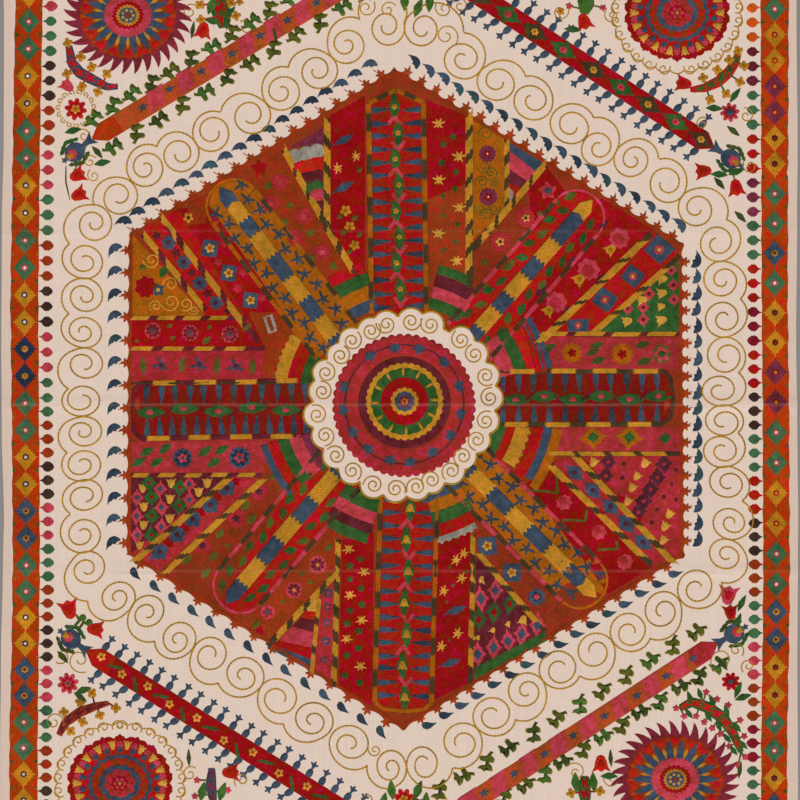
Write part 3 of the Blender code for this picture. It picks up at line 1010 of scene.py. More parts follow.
# Arcs round the medallion: inner and outer reach from its middle, start and end angle, dye, depth of teeth
ARCS = (
    (133, 147, 150, 169, "rust", 0), (119, 134, 149, 170, "yellow", 3), (105, 120, 150, 170, "red", 0),
    (94, 107, 153, 170, "green", 0),
    (133, 147, 12, 36, "red", 0), (139, 153, 13, 34, "slate", 2), (126, 140, 12, 36, "scarlet", 0),
    (113, 127, 14, 36, "green", 2), (98, 114, 14, 36, "rose", 0),
    (150, 160, -34, -10, "ochre", 0), (141, 151, -32, -10, "slate", 1), (130, 142, -33, -11, "red", 0),
    (113, 131, -31, -12, "yellow", 4), (104, 114, -32, -12, "red", 0), (90, 105, -32, -12, "green", 0),
    (143, 151, 197, 219, "slate", 1), (133, 144, 197, 219, "red", 0), (121, 134, 197, 219, "green", 2),
    (108, 122, 197, 219, "rose", 0), (96, 109, 198, 219, "purple", 0),
    (131, 142, 61, 76, "green", 1), (118, 132, 58, 76, "maroon", 0), (107, 119, 56, 76, "rose", 0),
    (96, 108, 56, 76, "green", 1),
    (134, 146, 107, 122, "red", 0), (121, 135, 106, 122, "green", 1), (107, 122, 106, 123, "amber", 1),
    (96, 108, 106, 123, "slate", 0),
    (136, 148, 237, 255, "green", 1), (126, 137, 236, 256, "maroon", 0), (114, 127, 235, 256, "rose", 0),
    (100, 115, 235, 256, "green", 0),
    (139, 148, 283, 300, "grey", 3), (127, 140, 283, 302, "red", 0), (114, 128, 283, 303, "green", 1),
    (102, 115, 283, 304, "amber", 1), (92, 103, 283, 304, "slate", 0),
)
MEDALLION = (404.6, 401.4)
# The bare disc of cotton in the middle, free of stitches, with a lobe round each of its small scrolls
DISC = (404.0, 405.5)
DISC_REACH = 86.0
LOBE_SIZE = 13.4
LOBES = ((411, 321.5), (430.5, 325), (461, 340), (474.5, 354.5), (486, 376), (489.5, 398), (485.6, 421),
         (477, 440), (463, 456.5), (451.5, 471), (431.5, 480), (416.5, 487), (395.5, 489), (373.5, 485),
         (352, 471), (336, 455.5), (325, 435.5), (317, 415), (322.5, 391.6), (326, 373), (340.5, 356),
         (352, 341), (371, 331), (386.5, 324.4))


def disc_edge(angle):
    """Reach of the bare disc: the farthest of its own circle and the circles round its lobes."""
    reach = np.full(len(angle), DISC_REACH)
    for column, row in LOBES:
        away = math.hypot(column - DISC[0], row - DISC[1])
        way = math.atan2(DISC[1] - row, column - DISC[0])
        inside = LOBE_SIZE ** 2 - (away * np.sin(angle - way)) ** 2
        far = away * np.cos(angle - way) + np.sqrt(np.maximum(inside, 0.0))
        reach = np.where((inside > 0) & (np.cos(angle - way) > 0), np.maximum(reach, far), reach)
    return reach


def hexagon_edge(angle):
    """Reach of the hexagon from the disc's middle: where a ray at each angle crosses the nearest side."""
    reach = np.full(len(angle), 1.0e3)
    corners = np.array([(column - DISC[0], DISC[1] - row) for column, row in HEXAGON])
    for start, end in zip(corners, np.roll(corners, -1, axis=0)):
        run = end - start
        facing = np.cos(angle) * run[1] - np.sin(angle) * run[0]
        facing = np.where(np.abs(facing) < 1e-9, 1e-9, facing)
        away = (start[0] * run[1] - start[1] * run[0]) / facing
        share = (start[0] * np.sin(angle) - start[1] * np.cos(angle)) / facing
        hit = (away > 0) & (share > -1e-6) & (share < 1 + 1e-6)
        reach = np.where(hit, np.minimum(reach, away), reach)
    return reach


def clear_disc(places):
    """Move the places that fall inside the bare disc straight out to its edge."""
    middle = spot(*DISC)
    away = places - middle
    reach = np.maximum(np.hypot(away[:, 0], away[:, 1]), 1e-6)
    edge = disc_edge(np.arctan2(away[:, 1], away[:, 0])) * SQUARE
    return middle + away * np.maximum(1.0, edge / reach)[:, None]


def field(work, corners, dye, layer, grain):
    """Four-cornered patch: an upper and a lower grid between its corners, and a wall round them."""
    a, b, c, d = spot(*np.array(corners, float).T)
    turning = (c - a)[0] * (d - b)[1] - (c - a)[1] * (d - b)[0]
    if turning < 0:
        a, b, c, d = b, a, d, c
    shares = []
    for step, first, second in ((FIELD_STEPS[0], b - a, c - d), (FIELD_STEPS[1], d - a, c - b)):
        reach = max(np.linalg.norm(first), np.linalg.norm(second))
        edge = min(FIELD_EDGE / reach, 0.2)
        inside = np.linspace(edge, 1.0 - edge, max(2, math.ceil(reach / step)))
        shares.append(np.concatenate(([0.0], inside, [1.0])))
    u, v = np.meshgrid(*shares, indexing="ij")
    u, v = u[..., None], v[..., None]
    places = ((1 - u) * (1 - v) * a + u * (1 - v) * b + u * v * c + (1 - u) * v * d).reshape(-1, 2)
    rows, columns = u.shape[:2]
    number = np.arange(rows * columns).reshape(rows, columns)
    rim = np.concatenate((number[:-1, 0], number[-1, :-1], number[:0:-1, -1], number[0, :0:-1]))
    ahead = np.roll(rim, -1)
    count = rows * columns
    heights = np.full(count, SILK_RISE)
    heights[rim] = 0.45 * SILK_RISE
    sheet = grid_faces(rows, columns)[:, ::-1]
    wall = np.stack((rim + count, ahead + count, ahead, rim), -1)
    faces = np.vstack((sheet, sheet[:, ::-1] + count, wall[:, [0, 1, 2]], wall[:, [0, 2, 3]]))
    places = np.vstack((places, places))
    rises = np.concatenate((heights, np.full(count, ROOT)))
    put(work, places, rises, faces, layer, dye, turned(places, -grain))


def arc_strip(work, inner, outer, start, end, dye, teeth):
    """Strip on an arc about the medallion's middle, its outer edge waved by teeth chart squares."""
    reach = math.radians(end - start) * outer * SQUARE
    angle = np.radians(np.linspace(start, end, max(6, math.ceil(reach / 0.005))))
    wave = teeth * np.abs(np.sin(angle * outer * math.pi / 8.0))
    sides = [spot(*circled(MEDALLION, radius, angle)) for radius in (inner, outer - wave)]
    band(work, *sides, dye, 2, columns=3, edge=0.08)


def make_strips():
    """Work the ground of the hexagon, the strips over it and the arcs round the medallion."""
    work = new_work()
    corners = [math.atan2(DISC[1] - row, column - DISC[0]) % (2.0 * math.pi) for column, row in HEXAGON]
    angle = np.sort(np.concatenate((np.linspace(0.0, 2.0 * math.pi, 470, endpoint=False), corners)))
    sides = [spot(*circled(DISC, reach, angle)) for reach in (disc_edge(angle), hexagon_edge(angle))]
    band(work, *sides, "brick", 0, columns=38, edge=0.006, loop=True, grain=45, under=12)
    finish_work("hexagon_ground", work)
    work = new_work(clear_disc)
    for number, (*corners, dye, layer, grain) in enumerate(STRIPS):
        field(work, corners, dye, layer + 0.13 * (number % 6), grain)
    for inner, outer, start, end, dye, teeth in ARCS:
        arc_strip(work, inner, outer, start, end, dye, teeth)
    finish_work("hexagon_strips", work)


make_strips()

# Eight arms: four straight and four slanting bands that run out from the medallion, over the strips.
# The straight ones carry slim buds on both sides of a green vine. The slanting ones carry a jagged chain.
ARM_LAYER = 2
# Straight arms, top, bottom, left and right: middle line from the outer end to the medallion, half width,
# shape of the outer end, buds on each side, the border's two dyes with the step and length of its pieces, the
# vine's first place and step, what sits on the vine, and the ground's dye
STRAIGHT_ARMS = (
    {"from": (396, 103), "to": (399, 313), "half": 27.5, "end": "peak", "buds": (16, 16), "base": "amber",
     "piece": "umber", "pitch": 42, "length": 19, "vine": (4, 26.0), "blossom": "flower", "dye": "arm red"},
    {"from": (403, 702), "to": (409, 494), "half": 28.5, "end": "round", "buds": (16, 16), "base": "amber",
     "piece": "umber", "pitch": 39, "length": 18, "vine": (5, 31.5), "blossom": "tulip", "dye": "arm red"},
    {"from": (140, 411), "to": (312, 408), "half": 27.5, "end": "round", "buds": (12, 14), "base": "maroon",
     "piece": "yellow", "pitch": 41, "length": 22, "vine": (10, 34.0), "blossom": "dot", "dye": "deep red"},
    {"from": (664, 397.5), "to": (497, 398), "half": 26.5, "end": "round", "buds": (11, 11), "base": "umber",
     "piece": "yellow", "pitch": 41, "length": 24, "vine": (6, 28.5), "blossom": "dot", "dye": "deep red"},
)
# Slanting arms, from the upper right round to the lower right: middle line from the medallion to the tip, the
# tip's dye, the ground's, the sprigs, the middles and lengths of the yellow pieces, and the border's dye
SLANTING_ARMS = (
    {"tip": "yellow", "from": (468, 342), "to": (592, 200), "dye": "red", "sprigs": "leaf",
     "pieces": ((31, 25), (75, 25), (121, 25)), "base": "rose"},
    {"tip": "slate", "from": (338, 343), "to": (220, 188), "dye": "amber", "sprigs": "sprig",
     "pieces": ((20, 24), (69, 27), (123, 28), (166, 22)), "base": "amber"},
    {"tip": "slate", "from": (343, 465), "to": (226, 603), "dye": "red", "sprigs": "leaf",
     "pieces": ((29, 34), (85, 26), (140, 28)), "base": "rose"},
    {"tip": "yellow", "from": (462, 463), "to": (596, 597), "dye": "amber", "sprigs": "sprig",
     "pieces": ((27, 26), (80, 27), (134, 28)), "base": "rose"},
)
SLANTING_HALF = 27.0
BAND_END = np.array(((-1.0, -1.0), (0.1, -1.0), (1.0, -0.1), (1.0, 0.1), (0.1, 1.0), (-1.0, 1.0),
                     (-0.7, 0.0)))
CHAIN_WIDTH = 15.0
BORDER_WIDTH = 5.2
# How far the outer ends of the straight arms stand out, pointed or round, and the size of a bud on them
PEAK_REACH = 13.0
ROUND_REACH = 9.0
SPINDLE_SIZE = (9.8, 3.5)
SPRIG = spiked(0.26, ((15, 0.70, 17), (78, 0.50, 15), (140, 0.66, 17), (207, 0.44, 16), (285, 0.74, 18)), 40)
TULIP = np.array(((-1.05, -0.10), (-0.85, -0.46), (-0.25, -0.70), (0.35, -0.80), (0.98, -1.15), (0.68, -0.45),
                  (0.98, 0.0), (0.68, 0.45), (0.98, 1.15), (0.35, 0.80), (-0.25, 0.70), (-0.85, 0.46),
                  (-1.05, 0.10)))
LEAF_HALVES = (0.05, 0.45, 0.8, 1.0, 0.75, 0.5, 0.1)
SPINDLE_HALVES = (0.12, 0.34, 0.24, 0.58, 0.44, 0.84, 0.66, 1.0, 0.86, 1.0, 0.50)


def even_path(corners, step, loop=False):
    """Points at even steps, in chart squares, along straight runs between corners."""
    chart = np.array(corners, float)
    if loop:
        chart = np.vstack((chart, chart[:1]))
    run = distances(chart)
    places = np.linspace(0.0, run[-1], max(2, round(run[-1] / step) + 1))
    points = np.stack([np.interp(places, run, chart[:, axis]) for axis in (0, 1)], -1)
    return points[:-1] if loop else points


def profile_outline(halves, toothed=1.0):
    """Outline along x from -1 to 1 with the given half widths, toothed differently on its two sides."""
    half = np.array(halves)
    x = np.linspace(-1.0, 1.0, len(half))
    lower = np.stack((x, -half * toothed), -1)
    upper = np.stack((x, half), -1)[::-1]
    return np.vstack((lower, upper))


VINE_LEAF = profile_outline(LEAF_HALVES, 0.8)


def dash_outline(length, width, slant, teeth, tooth):
    """Piece of a rope in chart squares: a parallelogram whose two ends are cut in teeth."""
    side = np.linspace(-0.5, 0.5, teeth * 2 + 1)
    cut = tooth * np.where(np.arange(len(side)) % 2, -1.0, 1.0)
    right = np.stack((length / 2 + cut + slant * side * width, side * width), -1)
    left = np.stack((-length / 2 - cut + slant * side * width, side * width), -1)[::-1]
    if length < 17.0 or width < 10.0:
        return np.vstack((right, left))
    steps = np.linspace(0.0, 1.0, 7)[1:-1, None]
    return np.vstack((right, right[-1] + steps * (left[0] - right[-1]), left,
                      left[-1] + steps * (right[0] - left[-1])))


def dash(work, at, length, width, turn, dye, layer, slant=0.0, teeth=2, tooth=1.2):
    """One piece of a rope or a chain, set by hand with a little unevenness."""
    near = np.array(at) + dye_lots.uniform(-0.35, 0.35, 2)
    shape = dash_outline(length * dye_lots.uniform(0.94, 1.05), width, slant, teeth, tooth)
    pad(work, near, shape, 1.0, turn, dye, layer=layer, grain=0)


def arm_frame(start, end):
    """Start of a line on the chart, its directions along and across, its length and its turn in degrees."""
    start, end = np.array(start, float), np.array(end, float)
    reach = np.linalg.norm(end - start)
    way = (end - start) / reach
    across = np.array((-way[1], way[0]))
    return start, way, across, reach, bearing(way)


def rope(work, start, end, width, base, piece, pitch, length, layer, slant=0.0, first=0.35):
    """A two-coloured rope: a plain strip of its base dye, and pieces of the other at even steps over it."""
    start, way, _, reach, turn = arm_frame(start, end)
    steps = np.linspace(0.0, 1.0, max(3, round(reach / 2.4)))
    path = start + steps[:, None] * (np.array(end, float) - start)
    line(work, spot(*path.T), width / 2, base, layer=layer, edge=0.2)
    for place in np.arange(first * pitch, reach - 0.2 * length, pitch):
        dash(work, start + way * place, length, width * 0.96, turn, piece, layer + 1, slant)


def blob(work, at, size, dye, layer, turn=0.0, grain=0.0):
    """A rounded patch with an uneven edge."""
    wave = dye_lots.uniform(0, 2 * math.pi, 2)
    outline = polar(14, lambda angle: 1.0 + 0.10 * np.sin(3 * angle + wave[0])
                    + 0.07 * np.sin(5 * angle + wave[1]))
    pad(work, at, outline, size, turn, dye, layer=layer, grain=grain)


def blossom(work, at, size, dye, heart, layer, petals=5):
    """An open flower of five or more petals round a small heart."""
    pad(work, at, flower(petals, 0.42, 6), size, dye_lots.uniform(0, 70), dye, layer=layer)
    pad(work, at, round_outline(8), size * 0.30, 0, heart, layer=layer + 1)


def arm_ground(work, start, way, across, half, reach, dye, grain):
    """Ground of an arm: a strip on both sides of its middle line."""
    side = across * half
    end = start + way * reach
    field(work, [start + side, start - side, end - side, end + side], dye, ARM_LAYER - 1, grain)


def arm_end(work, middle, ring, dye):
    """End of an arm's ground: a patch inside a ring of places on the chart, read anticlockwise."""
    local = (ring - middle) * (1.0, -1.0)
    if np.sum(local[:, 0] * np.roll(local[:, 1], -1) - local[:, 1] * np.roll(local[:, 0], -1)) < 0:
        local = local[::-1]
    pad(work, middle, local, 1.0, 0.0, dye, layer=ARM_LAYER - 1)


def make_straight_arm(work, arm):
    """A straight arm: red ground, dashed border, slim buds from both sides, and a green vine between them."""
    start, way, across, reach, turn = arm_frame(arm["from"], arm["to"])
    half = arm["half"]
    arm_ground(work, start, way, across, half, reach, arm["dye"], turn + 90)
    if arm["end"] == "peak":
        shape = np.array(((0, -1), (0.2, -1), (0.2, 1), (0, 1), (-PEAK_REACH, 0.12),
                          (-PEAK_REACH, -0.12))) * (1.0, half)
    else:
        bow = np.radians(np.linspace(-90, 90, 9))
        shape = np.stack((-ROUND_REACH * np.cos(bow), half * np.sin(bow)), -1)
        shape = np.vstack((shape, ((0.2, half), (0.2, -half))))
    outer = start + shape[:, :1] * way + shape[:, 1:] * across
    arm_end(work, start - way * 3.0, outer, arm["dye"])
    for side in (-1, 1):
        edge = start + across * side * half
        rope(work, edge, edge + way * reach, BORDER_WIDTH, arm["base"], arm["piece"], arm["pitch"],
             arm["length"], ARM_LAYER, first=0.45 if side > 0 else 0.6)
    tip = start - way * (PEAK_REACH if arm["end"] == "peak" else ROUND_REACH)
    bend = 0.0 if arm["end"] == "peak" else 0.62
    for side in (-1, 1):
        edge = start + across * side * half
        corner = start + across * side * half * (0.5 + bend * 0.35) - way * (6.5 if not bend else 6.8)
        path = even_path((edge, corner, tip), 2.5)
        line(work, spot(*path.T), 1.9 if bend else 2.5, arm["base"], layer=ARM_LAYER)
        if arm["end"] == "peak":
            dash(work, (edge + corner) / 2 + (corner - edge) * 0.5, 12, 4.6, bearing(tip - edge), "umber",
                 ARM_LAYER + 1)
    spindle = profile_outline(SPINDLE_HALVES, 0.94)
    for side, count in zip((-1, 1), arm["buds"]):
        for place in np.linspace(7.0, reach - 6.0, count):
            at = start + way * (place + dye_lots.uniform(-0.8, 0.8)) + across * side * (half * 0.56)
            facing = turn + 90.0 * side + 180 + dye_lots.uniform(-4, 4)
            dye = ("slate", "slate", "ink", "teal")[int(dye_lots.integers(0, 4))]
            pad(work, at, spindle, SPINDLE_SIZE, facing, dye, layer=ARM_LAYER)
    first, spacing = arm["vine"]
    for number, place in enumerate(np.arange(first, reach, spacing)):
        lean = (-1) ** number
        at = start + way * place + across * lean * 1.6
        if arm["blossom"] == "dot":
            pad(work, at, spiked(0.62, ((0, 0.55, 26), (180, 0.55, 26), (40, .12, 12), (220, .12, 12)), 22),
                (13.0, 9.6), turn, "green", layer=ARM_LAYER)
            blob(work, at, (3.6, 2.6), "rose", ARM_LAYER + 1, turn)
            dash(work, at + way * spacing / 2, 15, 2.4, turn + 40 * lean, "maroon", ARM_LAYER)
        else:
            pad(work, at, spiked(0.60, ((0, 0.62, 24), (180, 0.62, 24)), 20), (12.0, 9.2), turn, "green",
                layer=ARM_LAYER)
            dash(work, at + way * spacing / 2 - across * 2.8, 13, 3.8, turn + 38 * lean, "rose", ARM_LAYER)
            dash(work, at + way * spacing / 2 + across * 3.2, 12, 3.6, turn - 38 * lean, "rose", ARM_LAYER)
            if arm["blossom"] == "flower":
                blossom(work, at, 3.3, "yellow", "amber", ARM_LAYER + 1)
            else:
                pad(work, at, TULIP, 4.6, turn + 180, "yellow", layer=ARM_LAYER + 1)


def make_slanting_arm(work, arm):
    """A slanting arm: ground with a round end, dark-pieced border, jagged chain, sprigs on both sides."""
    start, way, across, reach, turn = arm_frame(arm["from"], arm["to"])
    half = SLANTING_HALF
    body = reach - 22.0
    arm_ground(work, start, way, across, half, body, arm["dye"], turn)
    bow = np.radians(np.linspace(-90, 90, 11))
    cap = np.stack((25.0 * np.cos(bow), half * np.sin(bow)), -1)
    middle = start + way * (body + 1.0)
    curve = middle + cap[:, :1] * way + cap[:, 1:] * across
    arm_end(work, middle, np.vstack((curve, curve[-1:] - way, curve[:1] - way)), arm["dye"])
    for side in (-1, 1):
        edge = start + across * side * half
        rope(work, edge, edge + way * body, BORDER_WIDTH * 0.9, arm["base"], "umber", 35.0, 16.0, ARM_LAYER)
    path = even_path(curve, 2.5)
    line(work, spot(*path.T), 1.4, "rose" if arm["dye"] == "red" else "ochre", layer=ARM_LAYER)
    chain = start + np.linspace(0.0, reach - 16.0, 50)[:, None] * way
    pad(work, start + way * (reach - 11.0), BAND_END, (11.0, CHAIN_WIDTH / 2), turn, arm["tip"],
        layer=ARM_LAYER + 4.2)
    line(work, spot(*chain.T), CHAIN_WIDTH / 2, "slate", layer=ARM_LAYER + 1.3, edge=0.1)
    for place, length in arm["pieces"]:
        dash(work, start + way * place, length, CHAIN_WIDTH + 0.6, turn, "yellow", ARM_LAYER + 3.4, teeth=3,
             tooth=1.9)
    for side in (-1, 1):
        for number, place in enumerate(np.arange(9.0 + 4.0 * side, reach - 8.0, 15.6)):
            near = 16.6 + (2.4 if number % 2 else -1.8)
            at = start + way * place + across * side * near
            if arm["sprigs"] == "sprig":
                pad(work, at, SPRIG, 9.0, turn + 90 * side + dye_lots.uniform(-40, 40), "dusk",
                    layer=ARM_LAYER)
            else:
                pad(work, at, VINE_LEAF, (7.0, 4.7), turn + 25 * side + dye_lots.uniform(-25, 25),
                    ("green", "moss", "olive")[number % 3], layer=ARM_LAYER)


def make_arms():
    """Work the four straight arms and the four slanting ones."""
    work = new_work(clear_disc)
    for arm in STRAIGHT_ARMS:
        make_straight_arm(work, arm)
    finish_work("straight_arms", work)
    work = new_work(clear_disc)
    for arm in SLANTING_ARMS:
        make_slanting_arm(work, arm)
    finish_work("slanting_arms", work)


make_arms()

# Ropes: two-coloured lines between the strips, with long slanted pieces of yellow silk over a dark one.
# Each rope is one plain laid line with the pieces worked over it at even steps.
ROPE_LAYER = 2
# Start and end on the chart, width, base dye, piece dye, step, length of a piece, and the slant of its ends
ROPES = (
    ((143, 234), (206, 311), 6.5, "maroon", "yellow", 35, 24, -1.3),
    ((161, 217), (258, 342), 7.0, "maroon", "yellow", 36, 24, -1.3),
    ((131, 318), (247, 318), 4.4, "maroon", "yellow", 26, 17, 0.8),
    ((131, 348.5), (265, 348.5), 4.4, "maroon", "yellow", 31, 20, 0.8),
    ((131, 383), (300, 383), 2.0, "umber", "umber", 31, 20, 0.8),
    ((284, 150), (328, 228), 7.0, "umber", "yellow", 27, 20, -1.2),
    ((327, 119), (327, 230), 7.0, "umber", "yellow", 27.5, 18, 1.2),
    ((327, 228), (357, 277), 7.0, "umber", "yellow", 28, 19, -1.0),
    ((469, 113), (469, 288), 7.6, "umber", "yellow", 23.5, 15.5, -1.3),
    ((507, 139), (507, 208), 5.6, "umber", "yellow", 23.5, 13, -1.2),
    ((545, 165), (472, 250), 7.0, "umber", "yellow", 26, 20, 1.3),
    ((541, 341), (651, 234), 7.4, "umber", "yellow", 30, 25, -1.4),
    ((596, 331), (680, 256), 6.4, "umber", "yellow", 34, 27, -1.4),
    ((541, 334), (679, 334), 4.6, "maroon", "yellow", 36, 28, 0.8),
    ((550, 453.5), (680, 453.5), 4.6, "umber", "yellow", 31, 24, -0.8),
    ((550, 465), (651, 565), 7.0, "umber", "yellow", 35, 25, 1.3),
    ((575, 456), (670, 559), 6.8, "umber", "yellow", 31, 21, 1.3),
    ((473, 535), (470, 684), 5.4, "umber", "yellow", 28, 18, 0.6),
    ((478, 553), (545, 632), 6.0, "umber", "yellow", 25, 17, 1.0),
    ((338, 540), (334, 687), 6.0, "umber", "yellow", 25, 14, 0.8),
    ((319, 598), (312, 670), 4.6, "umber", "yellow", 28, 21, 0.6),
    ((337, 572), (268, 646), 6.6, "umber", "yellow", 24, 15, 1.0),
    ((131, 475), (262, 475), 4.6, "maroon", "yellow", 26.5, 16, 0.8),
    ((134, 562), (230, 477), 6.6, "umber", "yellow", 27, 18, -1.2),
    ((165, 573), (262, 480), 6.6, "umber", "yellow", 29, 21, -1.2),
)


def make_ropes():
    """Work all the ropes of the hexagon."""
    work = new_work()
    for start, end, width, base, piece, pitch, length, slant in ROPES:
        rope(work, start, end, width, base, piece, pitch, length, ROPE_LAYER, slant)
    finish_work("field_ropes", work)


make_ropes()

# Field motifs: flowers, sprigs, small birds, squares and diamonds that fill the strips.
# Each is a patch of couched silk over the strip's own stitches, with a heart in another colour.
MOTIF_LAYER = 2
BIRD_SHAPE = spiked(0.36, ((15, 0.66, 12), (62, 0.48, 11), (118, 0.40, 11), (165, 0.66, 13), (222, 0.56, 11),
                           (262, 0.34, 10), (310, 0.52, 12)), 42)
STREAK_SHAPE = spiked(0.50, ((0, 0.55, 12), (30, 0.30, 10), (-32, 0.28, 10), (150, 0.26, 10), (180, 0.75, 10),
                             (212, 0.26, 10), (90, 0.18, 16), (-90, 0.16, 16)), 40)
LEAF_DOT = spiked(0.66, ((25, 0.42, 15), (100, 0.36, 15), (170, 0.44, 15), (240, 0.34, 15), (310, 0.38, 15)),
                  30)
DIAMOND = stepped_diamond(28)
TILE = polar(32, lambda angle: 0.93 / np.maximum(np.abs(np.cos(angle)), np.abs(np.sin(angle))) ** 0.92
             * (1.0 + 0.05 * np.cos(16 * angle)))
FAN = polar(30, lambda angle: 0.72 + 0.28 * np.cos(angle) + 0.09 * np.cos(9 * angle))
SHAPES = {"bird": BIRD_SHAPE, "streak": STREAK_SHAPE, "dot": LEAF_DOT, "diamond": DIAMOND, "tile": TILE,
          "fan": FAN, "tulip": TULIP, "sprig": SPRIG, "leaf": VINE_LEAF, "round": round_outline(14),
          "eight": flower(8, 0.35, 4), "five": flower(5, 0.45, 6), "many": flower(13, 0.16, 3)}
